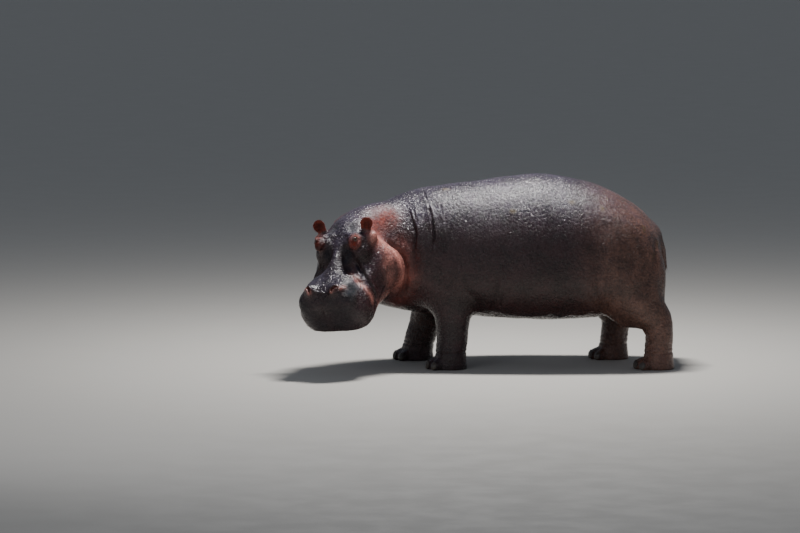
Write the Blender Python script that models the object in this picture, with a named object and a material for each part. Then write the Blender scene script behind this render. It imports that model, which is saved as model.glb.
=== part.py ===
"""A standing hippopotamus at life size, wading stance, head lowered and turned to its left.

The animal faces -X, its left side is towards -Y, and it stands on z = 0. Metres.
Flesh masses are lofted, fused into one body, and parted again with thin cuts into its named parts.
"""

import math
from typing import NamedTuple

import bmesh
import bpy
from mathutils import Matrix, Vector

# ---- driving sizes -------------------------------------------------------------------------------
BACK_HEIGHT = 1.475       # floor to the highest point of the loins
BELLY_CLEARANCE = 0.35    # floor to the lowest point of the belly
TRUNK_HALF_WIDTH = 0.53
HEAD_YAW = 68.0           # degrees that the head turns left from straight ahead
HEAD_PITCH = 47.0         # degrees that the line from eyes to nostrils points down
HEAD_ROLL = 8.0           # degrees that the head's left side is raised
EYES_MIDDLE = Vector((-1.467, -0.65, 1.009))
EYE_RADIUS = 0.023
NOSTRIL_FORWARD = 0.460   # from the eyes to the nostrils along the face
TAIL_LENGTH = 0.34
CUT = 0.0004              # the gap that each thin cut leaves
FUSE_VOXEL = 0.013
FINE_VOXEL = 0.008
FILLET = 0.03             # radius given to the hollows where two masses meet
FLESH_TRIANGLES = 3700

SIDES = {"left": 1, "right": -1}  # +1 is the animal's own left


class Ring(NamedTuple):
    """One cross-section of a lofted mass, square to the way the mass runs."""

    along: float
    half_width: float
    top: float
    bottom: float
    widest: float          # the height at which it is widest
    aside: float = 0.0     # how far its middle lies to the left
    square: float = 2.2    # 2 is an ellipse, and more is squarer


class Bead(NamedTuple):
    """One cross-section of a limb: its middle, half its length fore and aft, and half its width."""

    at: tuple
    fore_aft: float
    half_width: float


# ---- shapes --------------------------------------------------------------------------------------
def blended(stations, per_span):
    """The stations with smooth ones between them, by a Catmull-Rom curve through every field."""
    def flat(station):
        return [x for field in station for x in (field if isinstance(field, tuple) else (field,))]

    rows = [flat(s) for s in stations]
    rows = [rows[0], *rows, rows[-1]]
    made = []
    for a, b, c, d in zip(rows, rows[1:], rows[2:], rows[3:]):
        for i in range(per_span):
            t = i / per_span
            made.append([
                0.5 * (2 * q + (r - p) * t + (2 * p - 5 * q + 4 * r - s) * t ** 2 + (3 * q - p - 3 * r + s) * t ** 3)
                for p, q, r, s in zip(a, b, c, d)
            ])
    return [*made, rows[-1]]


def signed_power(x, exponent):
    return math.copysign(abs(x) ** exponent, x)


def skinned(name, loops):
    """A closed mesh through loops of the same number of points, with flat ends."""
    bm = bmesh.new()
    rings = [[bm.verts.new(p) for p in loop] for loop in loops]
    for one, two in zip(rings, rings[1:]):
        for i in range(len(one)):
            j = (i + 1) % len(one)
            bm.faces.new((one[i], one[j], two[j], two[i]))
    bm.faces.new(rings[0][::-1])
    bm.faces.new(rings[-1])
    bmesh.ops.recalc_face_normals(bm, faces=bm.faces)
    return object_of(name, bm)


def object_of(name, bm):
    mesh = bpy.data.meshes.new(name)
    bm.to_mesh(mesh)
    bm.free()
    obj = bpy.data.objects.new(name, mesh)
    bpy.context.scene.collection.objects.link(obj)
    return obj


def lofted(name, rings, frame, points=28, per_span=3):
    """A mass through rings whose planes are square to the frame's own X axis."""
    loops = []
    for along, half_width, top, bottom, widest, aside, square in blended(rings, per_span):
        loop = []
        for i in range(points):
            angle = 2 * math.pi * i / points
            across = half_width * signed_power(math.cos(angle), 2 / square)
            rise = signed_power(math.sin(angle), 2 / square)
            height = widest + rise * (top - widest if rise > 0 else widest - bottom)
            loop.append(frame @ Vector((along, aside + across, height)))
        loops.append(loop)
    return skinned(name, loops)


def limb(name, beads, points=20, per_span=3):
    """A mass that follows its beads, each cross-section square to the limb's own line."""
    rows = blended(beads, per_span)
    middles = [Vector(row[:3]) for row in rows]
    loops = []
    for i, row in enumerate(rows):
        run = (middles[min(i + 1, len(rows) - 1)] - middles[max(i - 1, 0)]).normalized()
        across = Vector((0, 1, 0))
        fore = across.cross(run).normalized()
        across = run.cross(fore)
        loops.append([
            middles[i] + fore * row[3] * math.cos(a) + across * row[4] * math.sin(a)
            for a in (2 * math.pi * k / points for k in range(points))
        ])
    return skinned(name, loops)


def ellipsoid(name, frame, at, radii, turn=(0.0, 0.0, 0.0), detail=3):
    """An ellipsoid in a frame, turned by Euler angles in degrees about its own middle."""
    bm = bmesh.new()
    bmesh.ops.create_icosphere(bm, subdivisions=detail, radius=1.0)
    spin = [Matrix.Rotation(math.radians(a), 4, axis) for a, axis in zip(turn, "XYZ")]
    place = frame @ Matrix.Translation(at) @ spin[2] @ spin[1] @ spin[0] @ Matrix.Diagonal((*radii, 1.0))
    bm.transform(place)
    if place.determinant() < 0:
        bmesh.ops.reverse_faces(bm, faces=bm.faces)
    return object_of(name, bm)


def box(name, frame, low, high):
    """A box between two corners in a frame, used as a cutter."""
    bm = bmesh.new()
    bmesh.ops.create_cube(bm, size=1.0)
    low, high = Vector(low), Vector(high)
    bm.transform(frame @ Matrix.Translation((low + high) / 2) @ Matrix.Diagonal((*(high - low), 1.0)))
    return object_of(name, bm)


# ---- frames --------------------------------------------------------------------------------------
def trunk_frame():
    """X runs forwards (-X of the world), Y to the animal's left and Z up."""
    return Matrix.Rotation(math.pi, 4, "Z")


def head_frame():
    """X runs from the eyes to the nostrils, Y to the head's left and Z out of the forehead."""
    yaw = Matrix.Rotation(math.pi + math.radians(HEAD_YAW), 4, "Z")
    pitch = Matrix.Rotation(math.radians(HEAD_PITCH), 4, "Y")
    roll = Matrix.Rotation(math.radians(HEAD_ROLL), 4, "X")
    return Matrix.Translation(EYES_MIDDLE) @ yaw @ pitch @ roll


# ---- the body's masses ---------------------------------------------------------------------------
def trunk_masses():
    frame = trunk_frame()
    clearance, height, width = BELLY_CLEARANCE, BACK_HEIGHT, TRUNK_HALF_WIDTH
    barrel = (
        Ring(-1.005, 0.15, height - 0.52, 0.66, 0.82),
        Ring(-0.965, 0.29, height - 0.42, 0.56, 0.81),
        Ring(-0.86, 0.41, height - 0.29, clearance + 0.12, 0.79),
        Ring(-0.70, 0.475, height - 0.18, clearance + 0.05, 0.76),
        Ring(-0.50, 0.515, height - 0.085, clearance + 0.015, 0.75),
        Ring(-0.27, width - 0.01, height - 0.03, clearance, 0.74),
        Ring(-0.05, width, height - 0.004, clearance, 0.74),
        Ring(0.20, width - 0.005, height - 0.03, clearance + 0.01, 0.74),
        Ring(0.45, width - 0.035, height - 0.065, clearance + 0.03, 0.76, 0.01),
        Ring(0.65, width - 0.075, height - 0.085, clearance + 0.05, 0.78, 0.02),
        Ring(0.82, 0.425, height - 0.125, clearance + 0.08, 0.80, 0.045),
        Ring(0.95, 0.35, height - 0.18, clearance + 0.13, 0.82, 0.08),
        Ring(1.06, 0.24, height - 0.29, clearance + 0.22, 0.85, 0.12),
    )
    made = [lofted("barrel", barrel, frame, points=36)]
    for sign in SIDES.values():
        made += [
            ellipsoid("haunch", frame, (-0.75, 0.25 * sign, 0.70), (0.285, 0.215, 0.41), (0, 8, 0)),
            ellipsoid("buttock", frame, (-0.905, 0.17 * sign, 0.72), (0.135, 0.15, 0.22)),
            ellipsoid("shoulder", frame, (0.62, 0.275 * sign, 0.76), (0.25, 0.20, 0.38), (0, -10, 0)),
        ]
    return made


def neck_masses():
    """The neck leaves the shoulders and bends towards the lowered, turned head."""
    beads = (
        Bead((-0.50, 0.0, 0.86), 0.44, 0.36),
        Bead((-0.72, -0.02, 0.88), 0.495, 0.405),
        Bead((-0.92, -0.06, 0.875), 0.464, 0.38),
        Bead((-1.09, -0.13, 0.885), 0.418, 0.32),
        Bead((-1.24, -0.245, 0.933), 0.346, 0.275),
        Bead((-1.36, -0.37, 0.965), 0.268, 0.235),
        Bead((-1.43, -0.45, 0.985), 0.200, 0.19),
    )
    return [limb("neck", beads, points=28)]


def head_masses():
    frame = head_frame()
    face = (
        Ring(-0.29, 0.14, -0.040, -0.32, -0.17),
        Ring(-0.21, 0.175, 0.000, -0.32, -0.16, square=2.3),
        Ring(-0.12, 0.185, 0.012, -0.32, -0.15, square=2.4),
        Ring(-0.03, 0.165, 0.002, -0.32, -0.15, square=2.4),
        Ring(0.05, 0.135, -0.008, -0.30, -0.15, square=2.3),
        Ring(0.12, 0.110, -0.016, -0.28, -0.15),
        Ring(0.20, 0.100, -0.022, -0.27, -0.15),
        Ring(0.28, 0.125, -0.026, -0.26, -0.15, square=2.3),
        Ring(0.36, 0.165, -0.026, -0.26, -0.14, square=2.5),
    )
    snout = (
        Ring(0.24, 0.150, -0.050, -0.30, -0.17, square=2.4),
        Ring(0.32, 0.200, -0.028, -0.33, -0.16, square=2.9),
        Ring(0.40, 0.230, -0.016, -0.34, -0.15, square=3.6),
        Ring(0.48, 0.240, -0.018, -0.35, -0.15, square=4.0),
        Ring(0.54, 0.228, -0.040, -0.35, -0.16, square=3.8),
        Ring(0.575, 0.190, -0.075, -0.33, -0.18, square=3.2),
        Ring(0.59, 0.120, -0.130, -0.28, -0.20, square=2.6),
    )
    lips = (
        Ring(0.16, 0.160, -0.13, -0.33, -0.230, square=2.3),
        Ring(0.24, 0.215, -0.11, -0.35, -0.250, square=2.3),
        Ring(0.32, 0.255, -0.10, -0.37, -0.270, square=2.6),
        Ring(0.40, 0.280, -0.10, -0.392, -0.285, square=2.9),
        Ring(0.47, 0.287, -0.10, -0.400, -0.295, square=3.1),
        Ring(0.53, 0.270, -0.12, -0.392, -0.290, square=3.2),
        Ring(0.57, 0.228, -0.15, -0.372, -0.280, square=3.0),
        Ring(0.59, 0.160, -0.19, -0.32, -0.260, square=2.5),
    )
    jaws = (
        Ring(-0.22, 0.21, -0.12, -0.46, -0.30, square=2.4),
        Ring(-0.15, 0.275, -0.09, -0.54, -0.33, square=2.6),
        Ring(-0.07, 0.305, -0.09, -0.585, -0.36, square=2.6),
        Ring(0.02, 0.305, -0.10, -0.60, -0.37, square=2.6),
        Ring(0.10, 0.292, -0.11, -0.585, -0.37, square=2.7),
        Ring(0.18, 0.275, -0.11, -0.55, -0.35, square=2.8),
        Ring(0.27, 0.262, -0.10, -0.51, -0.33, square=2.6),
        Ring(0.36, 0.260, -0.10, -0.485, -0.32, square=2.8),
        Ring(0.45, 0.262, -0.12, -0.462, -0.32, square=3.0),
        Ring(0.52, 0.215, -0.18, -0.43, -0.32, square=2.7),
    )
    lofts = {"face": face, "snout": snout, "lips": lips, "jaws": jaws}
    made = [lofted(name, rings, frame) for name, rings in lofts.items()]
    for sign in SIDES.values():
        made += [
            ellipsoid("cheek", frame, (-0.05, 0.22 * sign, -0.40), (0.165, 0.108, 0.18)),
            ellipsoid("cheekbone", frame, (-0.02, 0.165 * sign, -0.115), (0.15, 0.068, 0.08)),
            ellipsoid("orbit", frame, (0.006, 0.140 * sign, -0.003), (0.080, 0.060, 0.055)),
            ellipsoid("ear_root", frame, (-0.112, 0.215 * sign, -0.085), (0.055, 0.045, 0.050)),
            ellipsoid("nostril_rim", frame, (NOSTRIL_FORWARD, 0.100 * sign, -0.012), (0.060, 0.044, 0.038)),
        ]
    return made


class Stance(NamedTuple):
    """Where one leg's joints are: the upper and lower joint and the middle of the foot."""

    upper: tuple
    lower: tuple
    foot: tuple


FORELEGS = {
    "left": Stance((-0.60, -0.31, 0.56), (-0.60, -0.315, 0.24), (-0.625, -0.32, 0.0)),
    "right": Stance((-0.71, 0.29, 0.56), (-0.82, 0.285, 0.24), (-0.875, 0.28, 0.0)),
}
HINDLEGS = {
    "left": Stance((0.76, -0.335, 0.56), (0.985, -0.33, 0.385), (0.965, -0.325, 0.0)),
    "right": Stance((0.52, 0.335, 0.56), (0.685, 0.33, 0.385), (0.645, 0.325, 0.0)),
}


def foreleg_masses(stance):
    elbow, wrist, foot = (Vector(p) for p in stance)
    pastern = foot + Vector((0.012, 0, 0.10))
    return [limb("foreleg", (
        Bead(tuple(elbow + Vector((-0.02, 0.0, 0.22))), 0.19, 0.13),
        Bead(tuple(elbow + Vector((0.0, 0.0, 0.10))), 0.20, 0.155),
        Bead(tuple(elbow.lerp(wrist, 0.15)), 0.172, 0.150),
        Bead(tuple(elbow.lerp(wrist, 0.55)), 0.140, 0.132),
        Bead(tuple(wrist), 0.122, 0.124),
        Bead(tuple(pastern), 0.122, 0.128),
        Bead(tuple(foot + Vector((0.01, 0, -0.04))), 0.135, 0.138),
    ))]


def hindleg_masses(stance):
    knee, hock, foot = (Vector(p) for p in stance)
    pastern = foot + Vector((0.012, 0, 0.10))
    return [limb("hindleg", (
        Bead(tuple(knee + Vector((-0.03, 0.0, 0.26))), 0.21, 0.13),
        Bead(tuple(knee + Vector((0.0, 0.0, 0.10))), 0.225, 0.155),
        Bead(tuple(knee.lerp(hock, 0.45) + Vector((0, 0, -0.01))), 0.170, 0.142),
        Bead(tuple(hock + Vector((-0.02, 0, -0.01))), 0.122, 0.116),
        Bead(tuple(hock.lerp(pastern, 0.45)), 0.108, 0.108),
        Bead(tuple(pastern + Vector((0, 0, 0.03))), 0.112, 0.116),
        Bead(tuple(foot + Vector((0.01, 0, -0.04))), 0.130, 0.132),
    ))]


TOE_FAN = (-46.0, -16.0, 16.0, 46.0)  # degrees from straight ahead
TOE_AT = Vector((0.108, 0.0, 0.032))
TOE_RADII = Vector((0.078, 0.045, 0.054))
TOE_SLOPE = 16.0                      # degrees that each toe points down
NAIL_DEPTH = 0.007
NAIL_AT = Vector((0.183, 0.0, 0.036))
NAIL_RADII = Vector((0.062, 0.030, 0.031))
NAIL_DETAIL = 2                       # how often the sphere behind each nail is subdivided


def toe_frames(foot):
    """A frame under each toe, X along the toe."""
    for fan in TOE_FAN:
        spread = Matrix.Rotation(math.pi + math.radians(fan), 4, "Z")
        yield Matrix.Translation(foot) @ spread


def toe_masses(foot):
    return [ellipsoid("toe", frame, TOE_AT, TOE_RADII, (0, TOE_SLOPE, 0)) for frame in toe_frames(foot)]


def tail_masses():
    base = Vector((0.945, 0.0, 1.03))
    beads = (
        Bead(tuple(base + Vector((-0.08, 0, 0.07))), 0.055, 0.07),
        Bead(tuple(base + Vector((0.005, 0, 0.0))), 0.050, 0.066),
        Bead(tuple(base + Vector((0.052, -0.004, -0.10))), 0.036, 0.050),
        Bead(tuple(base + Vector((0.070, -0.010, -0.20))), 0.030, 0.036),
        Bead(tuple(base + Vector((0.090, -0.014, -TAIL_LENGTH + 0.05))), 0.022, 0.022),
        Bead(tuple(base + Vector((0.091, -0.014, -TAIL_LENGTH + 0.02))), 0.012, 0.012),
    )
    return [limb("tail", beads, points=16)]


# ---- ears, eyes and nails ------------------------------------------------------------------------
class Leaf(NamedTuple):
    """One cross-section of an ear: how far along it, half its width, its depth and its hollow."""

    along: float
    half_width: float
    depth: float
    hollow: float          # 0 is solid, and 1 is hollow to the wall


EAR_ROOT = Vector((-0.112, 0.174, -0.052))
EAR_UP = {1: Vector((-0.60, 0.32, 0.70)), -1: Vector((-0.54, 0.42, 0.66))}
EAR_FACING = {1: Vector((0.66, 0.36, 0.66)), -1: Vector((0.66, -0.16, 0.70))}
EAR_WALL = 0.011
EAR_RIM = 0.009
EAR_SWELL = 0.006      # how far the solid root swells in front
EAR_POINTS = 7


def ear(name, sign):
    """A short cupped ear, each side turned a little differently, as a listening animal holds them."""
    frame = head_frame() @ Matrix.Diagonal((1, sign, 1, 1))
    up = EAR_UP[sign].normalized()
    across = EAR_FACING[sign].cross(up).normalized()
    facing = up.cross(across)
    leaves = (
        Leaf(-0.030, 0.028, 0.026, 0.0),
        Leaf(0.030, 0.035, 0.030, 0.35),
        Leaf(0.052, 0.044, 0.035, 0.85),
        Leaf(0.082, 0.050, 0.037, 1.0),
        Leaf(0.112, 0.042, 0.029, 1.0),
        Leaf(0.130, 0.018, 0.015, 0.4),
    )
    loops = []
    for along, half_width, depth, hollow in blended(leaves, 1):
        arc = [math.radians(-90 + 180 * k / (EAR_POINTS - 1)) for k in range(EAR_POINTS)]
        middle = EAR_ROOT + up * along + facing * (0.35 * depth + 1.3 * max(along - 0.03, 0) ** 2)
        back = [middle + across * half_width * math.sin(a) - facing * depth * math.cos(a) for a in arc]
        inner = half_width - EAR_RIM
        sunk = hollow * (depth - EAR_WALL) - (1 - hollow) * EAR_SWELL
        front = [middle + across * inner * math.sin(a) - facing * sunk * math.cos(a) for a in reversed(arc)]
        loops.append([frame @ p for p in back + front])
    return skinned(name, loops)


EYE_AT = Vector((0.014, 0.158, 0.029))
EYE_GAP = 0.0005


def eye(name, sign, grown=0.0):
    """An eyeball, which sits in the raised orbit."""
    frame = head_frame()
    at = Vector((EYE_AT.x, EYE_AT.y * sign, EYE_AT.z))
    return ellipsoid(name, frame, at, (EYE_RADIUS + grown,) * 3, detail=2)


def nails(name, foot):
    """The hoof-like nails of one foot, still sunk in its toes."""
    made = []
    for i, frame in enumerate(toe_frames(foot)):
        shell = ellipsoid(f"{name}_{i + 1}", frame, TOE_AT, TOE_RADII + Vector((1, 1, 1)) * NAIL_DEPTH,
                          (0, TOE_SLOPE, 0), NAIL_DETAIL)
        plate = ellipsoid("plate", frame, NAIL_AT, NAIL_RADII, detail=NAIL_DETAIL)
        made.append(carved(shell, plate, "INTERSECT"))
    return made


# ---- fusing --------------------------------------------------------------------------------------
def applied(obj):
    """The object with its modifiers applied."""
    graph = bpy.context.evaluated_depsgraph_get()
    mesh = bpy.data.meshes.new_from_object(obj.evaluated_get(graph))
    obj.modifiers.clear()
    obj.data = mesh
    return obj


def joined(name, objects):
    """Several meshes as one object, still overlapping."""
    bm = bmesh.new()
    for obj in objects:
        bm.from_mesh(obj.data)
        bpy.data.objects.remove(obj)
    return object_of(name, bm)


def fused(flesh):
    """The overlapping masses as one smooth body, hollows filleted."""
    add_modifiers(
        flesh,
        ("REMESH", {"mode": "VOXEL", "voxel_size": FUSE_VOXEL}),
        ("SMOOTH", {"factor": 0.5, "iterations": 4}),
        ("DISPLACE", {"strength": FILLET, "mid_level": 0.0}),
        ("REMESH", {"mode": "VOXEL", "voxel_size": FUSE_VOXEL}),
        ("DISPLACE", {"strength": -FILLET, "mid_level": 0.0}),
        ("SMOOTH", {"factor": 0.5, "iterations": 8}),
    )
    return applied(flesh)


def gathered(body, small):
    """The body with its small masses, as one skin of few faces that stands flat on the floor."""
    flesh = joined("flesh", [body, *small])
    add_modifiers(
        flesh,
        ("REMESH", {"mode": "VOXEL", "voxel_size": FINE_VOXEL}),
        ("SMOOTH", {"factor": 0.5, "iterations": 5}),
    )
    applied(flesh)
    ratio = FLESH_TRIANGLES / (2 * len(flesh.data.polygons))
    add_modifiers(flesh, ("DECIMATE", {"ratio": ratio}))
    applied(flesh)
    return carved(flesh, box("floor", Matrix.Identity(4), (-3, -3, -1), (3, 3, 0)), "DIFFERENCE")


# ---- parting -------------------------------------------------------------------------------------
def add_modifiers(obj, *kinds):
    for kind, settings in kinds:
        modifier = obj.modifiers.new(kind.title(), kind)
        for key, value in settings.items():
            setattr(modifier, key, value)


def carved(obj, tool, operation):
    """The object cut by the tool, or kept inside it; the tool is used up."""
    add_modifiers(
        obj,
        ("TRIANGULATE", {}),
        ("BOOLEAN", {"operation": operation, "object": tool, "solver": "EXACT"}),
        ("TRIANGULATE", {}),
    )
    applied(obj)
    bpy.data.objects.remove(tool)
    return obj


def copied(obj, name):
    twin = bpy.data.objects.new(name, obj.data.copy())
    bpy.context.scene.collection.objects.link(twin)
    return twin


def swollen(obj, by):
    """A copy of the object, grown along its normals."""
    twin = copied(obj, "swollen")
    add_modifiers(twin, ("DISPLACE", {"strength": by, "mid_level": 0.0}))
    return applied(twin)


def parted(body, name, frame, low, high):
    """The piece of the body inside a box, which leaves the body with a thin cut between them."""
    piece = carved(copied(body, name), box("cutter", frame, low, high), "INTERSECT")
    margin = Vector((CUT, CUT, CUT))
    carved(body, box("cutter", frame, Vector(low) - margin, Vector(high) + margin), "DIFFERENCE")
    return piece


def facing_frame(at, towards):
    """A frame at a point whose X axis runs towards the given direction, with Z near the vertical."""
    x = Vector(towards).normalized()
    y = Vector((0, 0, 1)).cross(x).normalized()
    z = x.cross(y)
    return Matrix.Translation(at) @ Matrix((x, y, z)).transposed().to_4x4()


NECK_END = (Vector((-1.10, -0.19, 0.90)), Vector((-0.72, -0.66, 0.20)))  # where the head begins
NECK_START = -0.82
MOUTH = -0.375         # the height of the mouth line in the head's frame
MOUTH_CORNER = 0.05    # how far forward of the eyes the mouth ends
FOOT_HEIGHT = 0.115
TAIL_CUT_LOW = (1.013, -0.075, 0.62)
TAIL_CUT_HIGH = (1.2, 0.070, 1.05)
FORELEG_TOP = 0.46
HINDLEG_TOP = 0.50
LEG_REACH = 0.30       # half the length of the box that parts a leg


def parts_of(trunk):
    """The named parts, each cut away from what is left of the trunk."""
    world = Matrix.Identity(4)
    made = [trunk]
    head = parted(trunk, "head", facing_frame(*NECK_END), (0, -1, -1), (1.2, 1, 1))
    neck = parted(trunk, "neck", world, (-2, -1, 0.30), (NECK_START, 1, 2))
    jaw = parted(head, "lower_jaw", head_frame(), (MOUTH_CORNER, -0.5, -0.9), (0.9, 0.5, MOUTH))
    tail = parted(trunk, "tail", world, TAIL_CUT_LOW, TAIL_CUT_HIGH)
    made += [head, neck, jaw, tail]
    for legs, leg, foot, top in (
        (FORELEGS, "foreleg", "forefoot", FORELEG_TOP),
        (HINDLEGS, "hindleg", "hindfoot", HINDLEG_TOP),
    ):
        for side, stance in legs.items():
            middle = Vector(stance.foot).lerp(Vector(stance.upper), 0.5)
            inner, outer = 0.12 * math.copysign(1, middle.y), 0.9 * math.copysign(1, middle.y)
            low = (middle.x - LEG_REACH, min(inner, outer), -0.1)
            high = (middle.x + LEG_REACH, max(inner, outer), top)
            limb_piece = parted(trunk, f"{leg}_{side}", world, low, high)
            sole = parted(limb_piece, f"{foot}_{side}", world, (low[0], low[1], -0.1), (*high[:2], FOOT_HEIGHT))
            made += [limb_piece, sole]
    return made


# ---- materials -----------------------------------------------------------------------------------
class Finish(NamedTuple):
    colour: tuple
    roughness: float


FINISHES = {
    "hide": Finish((0.105, 0.062, 0.058, 1), 0.45),
    "pale_hide": Finish((0.33, 0.14, 0.11, 1), 0.50),
    "eye": Finish((0.030, 0.014, 0.008, 1), 0.08),
    "nail": Finish((0.075, 0.060, 0.050, 1), 0.40),
}


def painted(obj, kind):
    """The object with a material of its own."""
    finish = FINISHES[kind]
    material = bpy.data.materials.new(f"{obj.name}_{kind}")
    material.use_nodes = True
    shader = material.node_tree.nodes["Principled BSDF"]
    shader.inputs["Base Color"].default_value = finish.colour
    shader.inputs["Roughness"].default_value = finish.roughness
    shader.inputs["Metallic"].default_value = 0.0
    obj.data.materials.clear()
    obj.data.materials.append(material)


def centred(objects):
    """Moves every mesh so that the whole stands on z = 0 around the middle of its own plan."""
    points = [v.co for obj in objects for v in obj.data.vertices]
    low = Vector(min(p[i] for p in points) for i in range(3))
    high = Vector(max(p[i] for p in points) for i in range(3))
    shift = Vector((-(low.x + high.x) / 2, -(low.y + high.y) / 2, -low.z))
    for obj in objects:
        obj.data.transform(Matrix.Translation(shift))
    return shift


def main():
    for obj in list(bpy.data.objects):
        bpy.data.objects.remove(obj)
    large = trunk_masses() + neck_masses() + head_masses()
    small = tail_masses()
    for stance in FORELEGS.values():
        large += foreleg_masses(stance)
        small += toe_masses(Vector(stance.foot))
    for stance in HINDLEGS.values():
        large += hindleg_masses(stance)
        small += toe_masses(Vector(stance.foot))
    trunk = gathered(fused(joined("body", large)), small)
    trunk.name = "trunk"
    flesh = parts_of(trunk)
    by_name = {obj.name: obj for obj in flesh}
    for obj in flesh:
        painted(obj, "hide")
    made = list(flesh)
    for side, sign in SIDES.items():
        whole_ear = ear(f"ear_{side}", sign)
        carved(whole_ear, swollen(by_name["head"], CUT), "DIFFERENCE")
        carved(by_name["head"], eye("socket", sign, EYE_GAP), "DIFFERENCE")
        ball = eye(f"eye_{side}", sign)
        painted(whole_ear, "pale_hide")
        painted(ball, "eye")
        made += [whole_ear, ball]
        for legs, foot in ((FORELEGS, "forefoot"), (HINDLEGS, "hindfoot")):
            for nail in nails(f"{foot.replace('foot', '')}nail_{side}", Vector(legs[side].foot)):
                carved(nail, swollen(by_name[f"{foot}_{side}"], CUT), "DIFFERENCE")
                painted(nail, "nail")
                made.append(nail)
    centred(made)


if __name__ == "__main__":
    main()
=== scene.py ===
"""A hippopotamus as a still, life-size museum model, wading pose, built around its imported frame.

The solids give every place: one skin is drawn over the flesh, then shaped by folds, lids, nostrils and
creases, and the eyes, nails and bristles are set into it.
"""

import logging
import math
from dataclasses import dataclass, field, replace
from enum import Enum
from typing import NamedTuple, Protocol, Sequence

import bpy
import numpy as np
from mathutils import Matrix, Vector, noise
from mathutils.bvhtree import BVHTree
from mathutils.geometry import barycentric_transform


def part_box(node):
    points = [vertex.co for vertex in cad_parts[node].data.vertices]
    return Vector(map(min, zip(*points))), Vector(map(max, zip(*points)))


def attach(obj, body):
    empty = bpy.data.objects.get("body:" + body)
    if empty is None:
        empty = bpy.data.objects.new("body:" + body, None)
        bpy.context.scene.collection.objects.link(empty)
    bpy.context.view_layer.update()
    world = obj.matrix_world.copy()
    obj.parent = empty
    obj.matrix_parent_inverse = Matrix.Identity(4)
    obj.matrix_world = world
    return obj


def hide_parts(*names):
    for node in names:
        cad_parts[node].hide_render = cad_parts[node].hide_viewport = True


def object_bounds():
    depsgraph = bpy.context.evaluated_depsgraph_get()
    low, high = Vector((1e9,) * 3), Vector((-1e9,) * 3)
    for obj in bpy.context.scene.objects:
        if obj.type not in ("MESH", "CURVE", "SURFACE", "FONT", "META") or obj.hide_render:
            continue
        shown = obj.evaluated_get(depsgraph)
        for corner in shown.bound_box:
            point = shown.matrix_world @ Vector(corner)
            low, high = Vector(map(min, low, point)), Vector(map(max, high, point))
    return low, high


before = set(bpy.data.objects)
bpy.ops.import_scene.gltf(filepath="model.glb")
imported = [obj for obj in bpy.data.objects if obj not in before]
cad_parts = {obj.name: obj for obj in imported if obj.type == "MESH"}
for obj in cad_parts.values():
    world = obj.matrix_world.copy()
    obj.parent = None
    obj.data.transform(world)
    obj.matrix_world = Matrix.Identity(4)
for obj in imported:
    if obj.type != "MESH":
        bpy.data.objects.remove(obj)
CAD_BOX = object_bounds()
LOG = logging.getLogger("hippopotamus")
Points = np.ndarray
Rows = Sequence[Sequence[float]]


class Side(Enum):
    """The animal's own two sides."""

    LEFT = "left"
    RIGHT = "right"

    @property
    def sign(self) -> float:
        """+1 on the animal's left and -1 on its right."""
        return 1.0 if self is Side.LEFT else -1.0


def middle_of(node: str) -> Vector:
    """The middle of a node's box."""
    low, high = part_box(node)
    return (Vector(low) + Vector(high)) / 2


def box_of(node: str) -> tuple[Points, Points]:
    """The lowest and the highest corner of a node's box."""
    low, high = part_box(node)
    return np.array(low), np.array(high)


def inside_box(points: Points, node: str, margin: float) -> np.ndarray:
    """Which points lie in a node's box, widened by a margin."""
    low, high = box_of(node)
    return np.all((points > low - margin) & (points < high + margin), axis=1)


# ---- tools ---------------------------------------------------------------------------------------
def take(*objects: bpy.types.Object) -> None:
    """Selects only these objects and makes the first one active.

    Args:
        objects: the objects; the first becomes active.
    """
    if bpy.context.object and bpy.context.object.mode != "OBJECT":
        bpy.ops.object.mode_set(mode="OBJECT")
    bpy.ops.object.select_all(action="DESELECT")
    for obj in objects:
        obj.select_set(True)
    bpy.context.view_layer.objects.active = objects[0]


def applied(obj: bpy.types.Object, kind: str, **settings: object) -> bpy.types.Object:
    """Adds one modifier and applies it.

    Args:
        obj: the piece.
        kind: the modifier's type.
        settings: the modifier's own properties.

    Returns:
        The same piece.
    """
    take(obj)
    modifier = obj.modifiers.new(kind.title(), kind)
    for name, value in settings.items():
        setattr(modifier, name, value)
    bpy.ops.object.modifier_apply(modifier=modifier.name)
    return obj


def merged_copy(node: str) -> bpy.types.Object:
    """A copy of a CAD node with its loose triangles merged.

    Args:
        node: the node's name.

    Returns:
        A new object at the origin.
    """
    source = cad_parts[node]
    copy = source.copy()
    copy.data = source.data.copy()
    copy.parent = None
    copy.matrix_world = Matrix.Identity(4)
    copy.name = f"{node}_copy"
    copy.hide_viewport = copy.hide_render = False
    bpy.context.collection.objects.link(copy)
    copy.hide_set(False)
    copy.data.materials.clear()
    take(copy)
    bpy.ops.object.mode_set(mode="EDIT")
    bpy.ops.mesh.select_all(action="SELECT")
    bpy.ops.mesh.remove_doubles(threshold=0.00002)
    bpy.ops.object.mode_set(mode="OBJECT")
    return copy


def joined(name: str, objects: Sequence[bpy.types.Object]) -> bpy.types.Object:
    """Joins several objects into the first and renames it.

    Args:
        name: the new name.
        objects: the objects, which are used up.

    Returns:
        The joined object.
    """
    take(*objects)
    if len(objects) > 1:
        bpy.ops.object.join()
    objects[0].name = name
    objects[0].data.name = name
    return objects[0]


def places(obj: bpy.types.Object) -> Points:
    """The piece's vertices as an array of three columns.

    Args:
        obj: the piece.

    Returns:
        One row for each vertex.
    """
    flat = np.empty(len(obj.data.vertices) * 3)
    obj.data.vertices.foreach_get("co", flat)
    return flat.reshape(-1, 3)


def set_places(obj: bpy.types.Object, points: Points) -> None:
    """Moves the piece's vertices to the given places."""
    obj.data.vertices.foreach_set("co", points.astype(np.float32).ravel())
    obj.data.update()


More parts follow.
